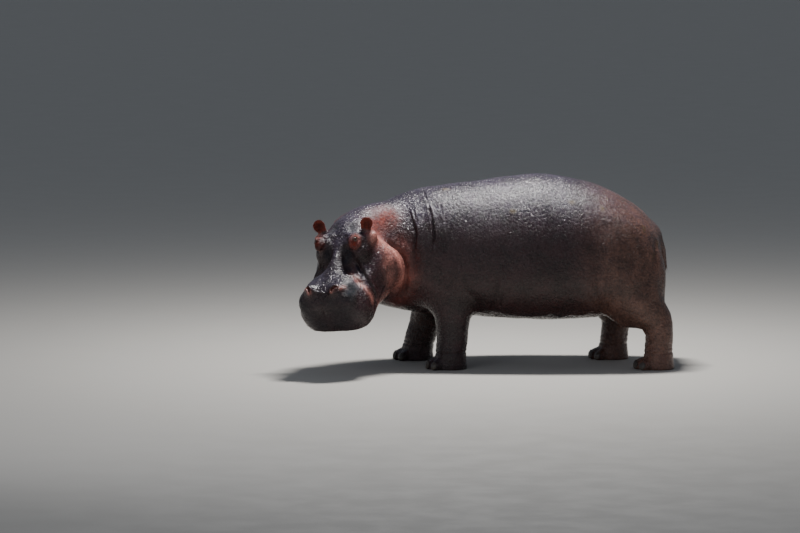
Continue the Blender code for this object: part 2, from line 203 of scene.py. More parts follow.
def corners_of(obj: bpy.types.Object) -> np.ndarray:
    """The numbers of the three vertices of each of the piece's triangles.

    Args:
        obj: the piece, all in triangles.

    Returns:
        One row for each triangle.
    """
    flat = np.empty(len(obj.data.polygons) * 3, dtype=np.int32)
    obj.data.polygons.foreach_get("vertices", flat)
    return flat.reshape(-1, 3)


def normals(obj: bpy.types.Object) -> Points:
    """The direction that the skin faces at each vertex.

    Args:
        obj: the piece.

    Returns:
        One row for each vertex.
    """
    flat = np.empty(len(obj.data.vertices) * 3, dtype=np.float32)
    obj.data.vertex_normals.foreach_get("vector", flat)
    return flat.reshape(-1, 3).astype(float)


def soft_step(x: Points, start: float, end: float) -> Points:
    """0 before start, 1 after end, and a smooth rise between."""
    t = np.clip((x - start) / (end - start), 0, 1)
    return t * t * (3 - 2 * t)


def hump(x: Points, at: Points | float, width: float) -> Points:
    """1 at one value, falling off smoothly over a width on both sides of it."""
    return np.exp(-(((x - at) / width) ** 2))


def curve_through(points: Rows, steps: int = 8) -> Points:
    """A smooth curve through a few points.

    Args:
        points: the points on the curve.
        steps: how many pieces each span is divided into.

    Returns:
        The points along it, the given ones among them.
    """
    p = np.array(points, dtype=float)
    before = np.vstack([2 * p[0] - p[1], p[:-1]])
    after = np.vstack([p[1:], 2 * p[-1] - p[-2]])
    slope = (after - before) / 2
    made = []
    for i in range(len(p) - 1):
        t = np.linspace(0, 1, steps, endpoint=False)[:, None]
        made.append(
            (2 * t**3 - 3 * t**2 + 1) * p[i]
            + (t**3 - 2 * t**2 + t) * slope[i]
            + (3 * t**2 - 2 * t**3) * p[i + 1]
            + (t**3 - t**2) * slope[i + 1]
        )
    return np.vstack([*made, p[-1:]])


def weigh(obj: bpy.types.Object, name: str, weight: Points, levels: int = 24) -> None:
    """Writes a weight for each vertex as a vertex group, in even levels.

    Args:
        obj: the piece.
        name: the group's name.
        weight: one number from 0 to 1 for each vertex.
        levels: how many steps the weights are rounded to.
    """
    group = obj.vertex_groups.new(name=name)
    rounded = np.rint(np.clip(weight, 0, 1) * levels).astype(int)
    for level in range(1, levels + 1):
        chosen = np.nonzero(rounded == level)[0]
        if len(chosen):
            group.add(chosen.tolist(), level / levels, "REPLACE")


# ---- the head's place ----------------------------------------------------------------------------
@dataclass(frozen=True)
class HeadPlace:
    """How the head is turned, and the frame that this gives.

    X runs from the eyes to the nostrils, Y to the head's left and Z out of the forehead.
    """

    yaw: float = 68.0
    pitch: float = 47.0
    roll: float = 8.0
    eye: tuple[float, float, float] = (0.014, 0.158, 0.029)

    def matrix(self) -> Matrix:
        """The head's frame in the world, hung from the two eyes.

        Returns:
            The matrix from the head's frame to the world.
        """
        turn = (
            Matrix.Rotation(math.pi + math.radians(self.yaw), 4, "Z")
            @ Matrix.Rotation(math.radians(self.pitch), 4, "Y")
            @ Matrix.Rotation(math.radians(self.roll), 4, "X")
        )
        between = (middle_of("eye_left") + middle_of("eye_right")) / 2
        start = between - turn.to_3x3() @ Vector((self.eye[0], 0, self.eye[2]))
        return Matrix.Translation(start) @ turn


HEAD_MATRIX = HeadPlace().matrix()
HEAD_TURN = np.array(HEAD_MATRIX.to_3x3())
HEAD_ORIGIN = np.array(HEAD_MATRIX.translation)


def in_head(points: Points) -> Points:
    """World places in the head's frame."""
    return (points - HEAD_ORIGIN) @ HEAD_TURN


def from_head(points: Points) -> Points:
    """Places of the head's frame in the world."""
    return points @ HEAD_TURN.T + HEAD_ORIGIN


def on_left(local: Points) -> Points:
    """Places of the head's frame, those of its right moved over to its left."""
    return np.stack([local[:, 0], np.abs(local[:, 1]), local[:, 2]], axis=1)


# ---- shaping -------------------------------------------------------------------------------------
class Form(Protocol):
    """Anything that raises or sinks the skin."""

    def raise_by(self, points: Points) -> Points:
        """How far each point moves outwards."""


def away_from(points: Points, path: Points, reach: float) -> tuple[np.ndarray, Points, Points]:
    """How far points are from a path, for those within reach of it.

    Args:
        points: the points.
        path: the points along the path.
        reach: how far beyond the path's box points still count.

    Returns:
        The numbers of the points that count, their distance, and how far along the path they are, 0 to 1.
    """
    low, high = path.min(axis=0) - reach, path.max(axis=0) + reach
    near = np.nonzero(np.all((points > low) & (points < high), axis=1))[0]
    start, span = path[:-1], path[1:] - path[:-1]
    length = np.linalg.norm(span, axis=1)
    run = np.concatenate([[0], np.cumsum(length)])
    best = np.full(len(near), np.inf)
    where = np.zeros(len(near))
    for k in range(len(start)):
        offset = points[near] - start[k]
        t = np.clip(offset @ span[k] / length[k] ** 2, 0, 1)
        away = np.linalg.norm(offset - t[:, None] * span[k], axis=1)
        closer = away < best
        best[closer] = away[closer]
        where[closer] = (run[k] + t[closer] * length[k]) / run[-1]
    return near, best, where


@dataclass(frozen=True)
class Fold:
    """A groove or a ridge along a line in the skin.

    Args:
        line: a few points on it, in the head's frame or in the world.
        width: half the width of the groove at its lips.
        depth: how far its bottom sinks; a ridge has a negative depth.
        lip: how far the skin swells beside it.
        tail: the share of its length over which each end runs out.
        least: the share of the depth that is left at the very ends.
    """

    line: Rows
    width: float
    depth: float
    lip: float = 0.0
    tail: float = 0.25
    least: float = 0.08

    def raise_by(self, points: Points) -> Points:
        """How far each point moves outwards for this fold.

        Args:
            points: the skin, in the frame of the line.

        Returns:
            One height for each point.
        """
        moved = np.zeros(len(points))
        near, best, where = away_from(points, curve_through(self.line), self.width * 4)
        fade = soft_step(where, 0, self.tail) * soft_step(1 - where, 0, self.tail)
        fade = self.least + (1 - self.least) * fade
        across = best / self.width
        groove = -self.depth * np.exp(-(across**2) * 2.2)
        swell = self.lip * np.exp(-((across - 1.5) ** 2) * 2.0)
        moved[near] = fade * (groove + swell)
        return moved


@dataclass(frozen=True)
class Swelling:
    """A rounded lump or hollow in the skin, fading out over its radii."""

    at: tuple[float, float, float]
    radii: tuple[float, float, float]
    height: float

    def raise_by(self, points: Points) -> Points:
        """How far each point moves outwards for this swelling."""
        share = ((points - np.array(self.at)) / np.array(self.radii)) ** 2
        return self.height * np.exp(-share.sum(axis=1))


@dataclass(frozen=True)
class Ring:
    """A ring-shaped groove in the skin at one distance from a point."""

    at: tuple[float, float, float]
    radius: float
    width: float
    depth: float

    def raise_by(self, points: Points) -> Points:
        """How far each point moves outwards for this ring."""
        away = np.linalg.norm(points - np.array(self.at), axis=1)
        return -self.depth * hump(away, self.radius, self.width)


def mirrored(rows: Rows) -> Rows:
    """The same line on the other side of the head or body."""
    return [(row[0], -row[1], row[2]) for row in rows]


@dataclass(frozen=True)
class Parting:
    """The closed mouth: a groove where the upper lip lies over the lower one, level in the head's frame."""

    level: float = -0.372
    sag: float = 0.022
    corner: float = 0.035
    rise: float = 0.075
    width: float = 0.012
    depth: float = 0.022
    lip: float = 0.008

    def raise_by(self, points: Points) -> Points:
        """How far each point moves outwards: in at the groove and out along the upper lip.

        Args:
            points: the skin, in the head's frame.

        Returns:
            One height for each point.
        """
        forward, height = points[:, 0], points[:, 2]
        sag = self.sag * hump(forward, 0.42, 0.10) * soft_step(np.abs(points[:, 1]), 0.05, 0.16)
        line = self.level - sag + self.rise * (1 - soft_step(forward, self.corner, self.corner + 0.13))
        across = (height - line) / self.width
        fade = soft_step(forward, self.corner - 0.02, self.corner + 0.06)
        groove = -self.depth * np.exp(-(across**2) * 2.0)
        upper = self.lip * np.exp(-((across - 1.8) ** 2) * 0.9)
        return fade * (groove + upper)


@dataclass(frozen=True)
class Face:
    """The lumps, hollows and folds of the head, given for its left and repeated on its right."""

    rearmost: float = -0.75

    def lumps(self) -> list[Swelling]:
        """The soft forms of one side.

        Returns:
            The swellings, in the head's frame.
        """
        return [
            Swelling((-0.060, 0.310, -0.380), (0.100, 0.060, 0.140), 0.016),    # cheek
            Swelling((-0.085, 0.243, -0.070), (0.036, 0.030, 0.032), 0.015),    # lump behind the eye
            Swelling((0.016, 0.160, 0.020), (0.036, 0.034, 0.034), 0.013),      # orbit
            Swelling((0.105, 0.080, -0.045), (0.060, 0.038, 0.050), -0.034),    # hollow before the eye
            Swelling((0.175, 0.105, -0.090), (0.050, 0.040, 0.050), -0.018),
            Swelling((-0.135, 0.080, 0.000), (0.046, 0.040, 0.030), -0.011),    # hollow above the eye
            Swelling((0.050, 0.152, -0.002), (0.026, 0.030, 0.026), 0.011),     # bag below the eye
            Swelling((-0.060, 0.065, 0.010), (0.026, 0.030, 0.030), 0.009),     # brow
            Swelling((0.350, 0.235, -0.210), (0.070, 0.050, 0.110), 0.016),     # flank of the muzzle
            Swelling((0.425, 0.200, -0.070), (0.060, 0.026, 0.055), -0.012),    # hollow beside the nostril
            Swelling((-0.260, 0.225, -0.215), (0.110, 0.090, 0.090), -0.024),   # hollow between ear and roll
            Swelling((0.455, 0.110, 0.004), (0.050, 0.042, 0.036), 0.012),      # rim of the nostril
            Swelling((0.445, 0.158, -0.018), (0.034, 0.020, 0.026), 0.011),
            Swelling((0.560, 0.110, -0.200), (0.050, 0.070, 0.080), 0.010),     # upper lip
            Swelling((0.170, 0.000, -0.010), (0.180, 0.030, 0.040), 0.010),     # ridge of the nose
        ]

    def folds(self) -> list[Fold]:
        """The grooves and ridges of one side.

        Returns:
            The folds, in the head's frame.
        """
        behind_cheek = (
            (-0.215, 0.225, -0.190), (-0.190, 0.262, -0.275), (-0.178, 0.292, -0.345),
            (-0.160, 0.320, -0.405), (-0.118, 0.335, -0.460), (-0.075, 0.330, -0.515),
            (-0.040, 0.305, -0.585), (-0.012, 0.245, -0.670), (0.010, 0.160, -0.740),
        )
        neck_roll = (
            (-0.561, 0.279, -0.292), (-0.490, 0.333, -0.293), (-0.421, 0.373, -0.307),
            (-0.333, 0.406, -0.346), (-0.250, 0.405, -0.390), (-0.175, 0.395, -0.450),
            (-0.115, 0.385, -0.500), (-0.060, 0.355, -0.575), (-0.030, 0.300, -0.650),
            (-0.005, 0.220, -0.720),
        )
        behind_muzzle = (
            (0.110, 0.132, -0.085), (0.160, 0.172, -0.135), (0.225, 0.212, -0.185), (0.272, 0.240, -0.245),
            (0.296, 0.250, -0.320), (0.290, 0.255, -0.370),
        )
        return [
            Fold(behind_cheek, 0.028, 0.036, 0.010, 0.35),
            Fold(neck_roll, 0.016, 0.016, 0.003, 0.35),
            Fold(((-0.330, 0.262, -0.290), (-0.262, 0.300, -0.338), (-0.200, 0.312, -0.372)),
                 0.014, 0.010, 0.002),
            Fold(behind_muzzle, 0.020, 0.022, 0.008),
            Fold(((0.205, 0.125, -0.075), (0.262, 0.178, -0.115), (0.308, 0.225, -0.185)),
                 0.012, 0.005, 0.003),
            Fold(((0.255, 0.115, -0.060), (0.305, 0.168, -0.088), (0.345, 0.215, -0.150)),
                 0.010, 0.004, 0.002),
        ]

    def middle(self) -> list[Fold]:
        """The folds that cross the middle of the face.

        Returns:
            The folds, in the head's frame.
        """
        return [
            Fold(((0.468, 0.085, 0.012), (0.476, 0.030, -0.008), (0.476, -0.030, -0.008),
                  (0.468, -0.085, 0.012)), 0.011, -0.007, 0.0, 0.1),
            Fold(((0.560, 0.0, -0.055), (0.585, 0.0, -0.100), (0.595, 0.0, -0.160)),
                 0.016, 0.005, 0.002, 0.4),
        ]

    def all_forms(self) -> list[Form]:
        """Every form, with those of the left repeated on the right.

        Returns:
            The forms, in the order in which they are added up.
        """
        made: list[Form] = [*self.middle(), Parting()]
        for side in Side:
            made.append(Ring((0.028, 0.156 * side.sign, 0.016), 0.064, 0.011, 0.011))
        for lump in self.lumps():
            made.append(lump)
            if lump.at[1]:
                made.append(replace(lump, at=mirrored([lump.at])[0]))
        for fold in self.folds():
            made += [fold, replace(fold, line=mirrored(fold.line))]
        return made

    def shape(self, body: bpy.types.Object) -> None:
        """Raises and sinks the skin of the head.

        Args:
            body: the skin.
        """
        points, facing = places(body), normals(body)
        local = in_head(points)
        near = np.nonzero(local[:, 0] > self.rearmost)[0]
        moved = np.zeros(len(points))
        for form in self.all_forms():
            moved[near] += form.raise_by(local[near])
        set_places(body, points + facing * moved[:, None])


def on_flank(points: Points, along: float, height: float, side: Side) -> Points:
    """The place on the outermost skin at a share of the trunk's length and height.

    Args:
        points: the skin's vertices.
        along: 0 at the trunk's front and 1 at its back.
        height: 0 at the trunk's lowest level and 1 at its highest.
        side: which flank.

    Returns:
        The nearest vertex.
    """
    low, high = box_of("trunk")
    x = low[0] + along * (high[0] - low[0])
    z = low[2] + height * (high[2] - low[2])
    out = -points[:, 1] * side.sign
    away = np.hypot(points[:, 0] - x, points[:, 2] - z)
    return points[np.argmin(away - 0.12 * out)]


class Wrinkle(NamedTuple):
    """A wavy groove round a leg, at a height above the wrist or ankle."""

    height: float
    depth: float
    width: float
    sway: float


@dataclass(frozen=True)
class Body:
    """The creases of the neck, shoulders, flanks and legs."""

    fade_out: float = 0.35
    beside: float = 0.05
    front_only: float = 0.1
    wrinkles: tuple[Wrinkle, ...] = (
        Wrinkle(0.012, 0.0060, 0.0085, 0.006), Wrinkle(0.046, 0.0040, 0.0075, 0.010),
        Wrinkle(0.080, 0.0030, 0.0070, 0.014), Wrinkle(0.165, 0.0040, 0.0090, 0.024),
        Wrinkle(0.195, 0.0030, 0.0080, 0.020),
    )

    def neck_folds(self) -> list[Fold]:
        """The creases that the turned head presses into the shoulder, from between the eyes.

        Returns:
            The folds, measured from the head's origin along the world's axes.
        """
        return [
            Fold(((0.640, 0.560, 0.345), (0.6575, 0.446, 0.312), (0.682, 0.360, 0.245),
                  (0.7025, 0.278, 0.175), (0.7255, 0.211, 0.029), (0.7175, 0.183, -0.121)),
                 0.011, 0.014, 0.006),
            Fold(((0.770, 0.400, 0.290), (0.782, 0.300, 0.220), (0.795, 0.225, 0.120),
                  (0.800, 0.185, -0.020)), 0.010, 0.008, 0.004),
            Fold(((0.560, 0.340, 0.235), (0.590, 0.270, 0.120), (0.600, 0.220, -0.020)),
                 0.010, 0.006, 0.003),
        ]

    def flank_folds(self) -> list[tuple[Rows, float, float, float]]:
        """The creases of one flank, as shares of the trunk, each with its width, depth and lip.

        Returns:
            The line, width, depth and lip of each.
        """
        return [
            (((0.262, 0.085), (0.288, 0.180), (0.300, 0.290), (0.290, 0.420)), 0.018, 0.020, 0.006),
            (((0.285, 0.130), (0.330, 0.190), (0.350, 0.270)), 0.014, 0.009, 0.004),
            (((0.235, 0.115), (0.205, 0.205), (0.150, 0.270)), 0.014, 0.009, 0.004),
            (((0.752, 0.085), (0.722, 0.190), (0.705, 0.300), (0.702, 0.420)), 0.020, 0.020, 0.006),
            (((0.735, 0.120), (0.685, 0.190), (0.655, 0.270)), 0.014, 0.009, 0.004),
            (((0.715, 0.250), (0.712, 0.450), (0.722, 0.640), (0.740, 0.780)), 0.065, 0.020, 0.000),
            (((0.815, 0.130), (0.860, 0.250), (0.930, 0.330)), 0.018, 0.010, 0.004),
            (((0.940, 0.360), (0.955, 0.480), (0.950, 0.600)), 0.030, 0.013, 0.003),
            (((0.330, 0.450), (0.345, 0.600), (0.335, 0.740)), 0.055, 0.010, 0.000),
        ]

    def ring_depth(self, points: Points) -> Points:
        """How far the rings of wrinkles round the wrists and ankles sink.

        Args:
            points: the skin.

        Returns:
            One depth for each point.
        """
        sunk = np.zeros(len(points))
        flat = points[:, :2]
        for leg in ("foreleg", "hindleg"):
            for side in Side:
                low, high = box_of(f"{leg}_{side.value}")
                over = np.all((flat > low[:2] - self.beside) & (flat < high[:2] + self.beside), axis=1)
                near = np.nonzero(over & (points[:, 2] < high[2]))[0]
                centre = points[near][points[near][:, 2] < low[2] + self.front_only].mean(axis=0)
                turn = np.arctan2(points[near, 1] - centre[1], points[near, 0] - centre[0])
                level = points[near, 2] - low[2]
                for wrinkle in self.wrinkles:
                    line = wrinkle.height + wrinkle.sway * np.sin(turn + side.sign + wrinkle.height * 40)
                    whole = wrinkle.height < self.front_only
                    ahead = 1.0 if whole else soft_step(-np.cos(turn), -0.2, 0.6)
                    sunk[near] += wrinkle.depth * hump(level, line, wrinkle.width) * ahead
        return sunk

    def shape(self, body: bpy.types.Object) -> None:
        """Presses the creases into the skin.

        Args:
            body: the skin.
        """
        points, facing = places(body), normals(body)
        local = points - HEAD_ORIGIN
        moved = -self.ring_depth(points)
        for fold in self.neck_folds():
            moved += fold.raise_by(local)
        for side in Side:
            for line, width, depth, lip in self.flank_folds():
                path = [tuple(on_flank(points, along, height, side)) for along, height in line]
                moved += Fold(path, width, depth, lip, self.fade_out).raise_by(points)
        set_places(body, points + facing * moved[:, None])


def split_near(obj: bpy.types.Object, centre: Points, reach: float) -> None:
    """Quarters the skin's triangles near a point, for finer shaping.

    Args:
        obj: the skin.
        centre: the point in the world.
        reach: how far from it the triangles are split.
    """
    near = np.linalg.norm(places(obj) - centre, axis=1) < reach
    take(obj)
    for part in (obj.data.vertices, obj.data.edges):
        part.foreach_set("select", np.zeros(len(part), dtype=bool))
    obj.data.polygons.foreach_set("select", near[corners_of(obj)].any(axis=1))
    obj.data.update()
    bpy.ops.object.mode_set(mode="EDIT")
    bpy.ops.mesh.select_mode(type="FACE")
    bpy.ops.mesh.subdivide(number_cuts=1, smoothness=0.6)
    bpy.ops.mesh.select_all(action="SELECT")
    bpy.ops.mesh.quads_convert_to_tris()
    bpy.ops.object.mode_set(mode="OBJECT")


class LidFold(NamedTuple):
    """A crease or roll round the lids, at a distance from their edge; a crease has a negative height."""

    height: float
    at: float
    width: float
    below: float


@dataclass
class Lids:
    """The lids of one eye: thick rims round an almond opening, with folds above and a bag below."""

    side: Side
    opening: tuple[float, float] = (0.0205, 0.0120)
    folds: tuple[LidFold, ...] = (
        LidFold(0.0040, 0.0065, 0.0034, 1.0), LidFold(-0.0060, 0.0120, 0.0026, 0.7),
        LidFold(-0.0045, 0.0210, 0.0030, 0.7 / 0.9),
    )
    bag: LidFold = LidFold(0.0060, 0.0165, 0.0040, 1.0)
    ahead_of_gaze: float = 0.05
    outside: float = 9.0
    finer: float = 0.62
    lift: float = 0.0015
    gap: float = 0.0006
    thickness: float = 0.0045
    tucked: float = 0.004
    reach: float = 0.060

    def shape(self, body: bpy.types.Object) -> None:
        """Wraps the skin round the eyeball and presses the folds in.

        Args:
            body: the skin.
        """
        low, high = box_of(f"eye_{self.side.value}")
        centre, radius = (low + high) / 2, float(np.max(high - low)) / 2
        split_near(body, centre, self.reach)
        split_near(body, centre, self.reach * self.finer)
        gaze, along, up = Eye(self.side).axes()
        points = places(body)
        offset = points - centre
        away = np.linalg.norm(offset, axis=1)
        near = np.nonzero(away < self.reach)[0]
        out = offset[near] / away[near][:, None]
        ahead = out @ gaze
        facing = np.maximum(ahead, self.ahead_of_gaze)
        along_arc, up_arc = (np.arctan2(out @ way, facing) * radius for way in (along, up))
        half, tall = self.opening
        lift = up_arc - self.lift
        shape = np.sqrt((along_arc / half) ** 2 + (lift / tall) ** 2)
        margin = (np.where(ahead > self.ahead_of_gaze, shape, self.outside) - 1) * tall
        rim = radius + self.gap + self.thickness * soft_step(margin, -0.0005, 0.0035)
        inside = soft_step(-margin, 0.0, 0.0015)
        target = rim * (1 - inside) + (radius - self.tucked) * inside
        hold = 1 - soft_step(margin, 0.006, 0.020)
        moved = away[near] * (1 - hold) + target * hold
        raised = self.bag.height * hump(margin, self.bag.at, self.bag.width) * soft_step(-lift, 0.0, 0.012)
        for fold in self.folds:
            raised += fold.height * hump(margin, fold.at, fold.width) * np.where(lift > 0, 1.0, fold.below)
        moved += raised * soft_step(ahead, 0.0, 0.2)
        points[near] = centre + out * moved[:, None]
        set_places(body, points)


@dataclass
class Nostril:
    """One slit nostril, slanting back and outwards in its raised rim."""

    side: Side
    at: tuple[float, float, float] = (0.470, 0.112, 0.030)
    lean: tuple[float, float] = (-0.77, 0.63)
    half_length: float = 0.030
    half_width: float = 0.0085
    depth: float = 0.030
    rim: float = 0.0055
    bend: float = 0.006
    backward: float = 0.35
    split: tuple[float, float] = (0.075, 0.050)
    region: tuple[float, float, float] = (2.5, 0.06, 0.07)

    def shape(self, body: bpy.types.Object) -> None:
        """Sinks the slit into the skin and rounds its rim.

        Args:
            body: the skin.
        """
        flip = np.array([1.0, self.side.sign, 1.0])
        middle = from_head((np.array(self.at) * flip)[None])[0]
        for reach in self.split:
            split_near(body, middle, reach)
        points = places(body)
        local = in_head(points) * flip
        offset = local - np.array(self.at)
        lean = np.array(self.lean) / np.linalg.norm(self.lean)
        along = (offset[:, :2] @ lean) / self.half_length
        side = offset[:, 0] * -lean[1] + offset[:, 1] * lean[0]
        bend = self.bend * (1 - along**2)
        across = (side - bend) / (self.half_width * np.sqrt(np.clip(1.25 - along**2, 0.05, None)))
        near = np.all(np.abs(np.stack([along, side, offset[:, 2]], axis=1)) < self.region, axis=1)
        within = np.exp(-((across**2) ** 1.2) * 1.6) * (1 - soft_step(np.abs(along), 0.75, 1.15))
        rim = np.exp(-((np.abs(across) - 2.0) ** 2) * 1.4) * (1 - soft_step(np.abs(along), 1.0, 1.6))
        sunk = local.copy()
        sunk[:, 2] += np.where(near, -self.depth * within + self.rim * rim, 0.0)
        sunk[:, 0] -= np.where(near, self.backward * self.depth * within, 0.0)
        chosen = np.nonzero(near)[0]
        points[chosen] = from_head(sunk[chosen] * flip)
        set_places(body, points)


def reach_round(across: Points, angles: Points) -> Points:
    """How far a flat set of points reaches in each direction, round its convex outline.

    Args:
        across: the points, two columns.
        angles: the directions, in radians.

    Returns:
        The reach in each direction.
    """
    turns = np.linspace(-math.pi, math.pi, 72, endpoint=False)
    support = (across @ np.stack([np.cos(turns), np.sin(turns)])).max(axis=0)
    lean = np.cos(angles[:, None] - turns[None])
    return np.where(lean > 0.2, support / np.maximum(lean, 0.2), 9.0).min(axis=1)


def reach_in_wedges(across: Points, angles: Points, wedges: int = 40) -> Points:
    """How far a flat set of points reaches in each of its own directions, wedge by wedge.

    Args:
        across: the points, two columns.
        angles: the directions of the points, in radians.
        wedges: how many wedges the circle is cut into.

    Returns:
        The reach in each direction, smooth from wedge to wedge.
    """
    away = np.linalg.norm(across, axis=1)
    turns = (np.arange(wedges) + 0.5) / wedges * 2 * math.pi - math.pi
    number = np.clip(((angles + math.pi) / (2 * math.pi) * wedges).astype(int), 0, wedges - 1)
    far = np.array([away[number == k].max() if np.any(number == k) else away.max() for k in range(wedges)])
    return np.interp(angles, turns, far, period=2 * math.pi)


@dataclass
class EarCup:
    """The hollow of one ear, measured on the skin."""

    side: Side
    deep: float = 0.016
    toward: tuple[float, float, float] = (0.66, 0.26, 0.68)
    outward: tuple[float, float, float] = (-0.60, 0.34, 0.69)
    fullness: float = 0.95
    chosen: np.ndarray = field(init=False)
    within: Points = field(init=False)
    ring: Points = field(init=False)
    front: Points = field(init=False)
    flat: Points = field(init=False)
    across: Points = field(init=False)
    away: Points = field(init=False)
    reach: Points = field(init=False)
    true_reach: Points = field(init=False)

    def measure(self, points: Points, facing: Points) -> None:
        """Finds the ear's vertices, how far each faces into the hollow, and how near the rim it is.

        Args:
            points: the skin's vertices.
            facing: which way the skin faces there.
        """
        node = f"ear_{self.side.value}"
        flip = np.array([1.0, self.side.sign, 1.0])
        self.chosen = np.nonzero(inside_box(points, node, 0.006) & (ear_share(points) > 0.02))[0]
        ahead = facing[self.chosen] @ (HEAD_TURN @ (np.array(self.toward) * flip))
        front = facing[self.chosen][ahead > 0.5].mean(axis=0)
        self.front = front / np.linalg.norm(front)
        out = HEAD_TURN @ (np.array(self.outward) * flip)
        up = out - self.front * (out @ self.front)
        up /= np.linalg.norm(up)
        self.flat = np.stack([up, np.cross(self.front, up)], axis=1)
        solid = places(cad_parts[node])
        solid = solid[ear_share(solid) > 0.5]
        middle = (np.mean(box_of(node), axis=0) + solid.mean(axis=0)) / 2
        self.across = (points[self.chosen] - middle) @ self.flat
        self.away = np.linalg.norm(self.across, axis=1)
        angle = np.arctan2(self.across[:, 1], self.across[:, 0])
        self.true_reach = reach_round((solid - middle) @ self.flat, angle) * self.fullness
        self.reach = reach_in_wedges(self.across, angle)
        self.ring = np.minimum(self.away / self.reach, 1.0)
        self.within = soft_step(facing[self.chosen] @ self.front, 0.1, 0.6)

    def shape(self, body: bpy.types.Object) -> None:
        """Rounds the ear's rim off and bows its leaf into a cup.

        Args:
            body: the skin.
        """
        points, facing = places(body), normals(body)
        self.measure(points, facing)
        held = ear_share(points)[self.chosen]
        free = held * soft_step(self.across[:, 0], -0.030, 0.004)
        grow = (self.true_reach / self.reach - 1) * soft_step(self.ring, 0.35, 0.9) * free
        change = self.across * grow[:, None]
        change[:, 1] += self.across[:, 1] * self.stem_growth(soft_step(held, 0.0, 0.3))
        sunk = self.deep * (1 - self.ring**2) * np.maximum(free, 0.4 * held)
        points[self.chosen] += change @ self.flat.T - self.front * sunk[:, None]
        set_places(body, points)

    def stem_growth(self, held: Points) -> Points:
        """How much wider the ear's stem becomes, so that its edges run on from the cup to the head.

        Args:
            held: the share of each of the ear's vertices that is free of the head.

        Returns:
            The share of its width by which each vertex moves outwards.
        """
        up, beside = self.across[:, 0], self.across[:, 1]
        levels = np.arange(-0.072, 0.001, 0.008)
        grown = np.zeros(len(up))
        for hand in (-1.0, 1.0):
            out = beside * hand
            bands = [(np.abs(up - level) < 0.007) & (out > 0) for level in levels]
            widths = np.array([out[band].max(initial=0.012) for band in bands])
            wanted = widths[-1] * (1 - 0.34 * (levels / levels[0]) ** 1.6)
            share = np.interp(up, levels, np.clip(wanted / widths, 1.0, 1.6)) - 1
            grown = np.where(out > 0, share, grown)
        return grown * held * (1 - soft_step(up, -0.012, 0.004))


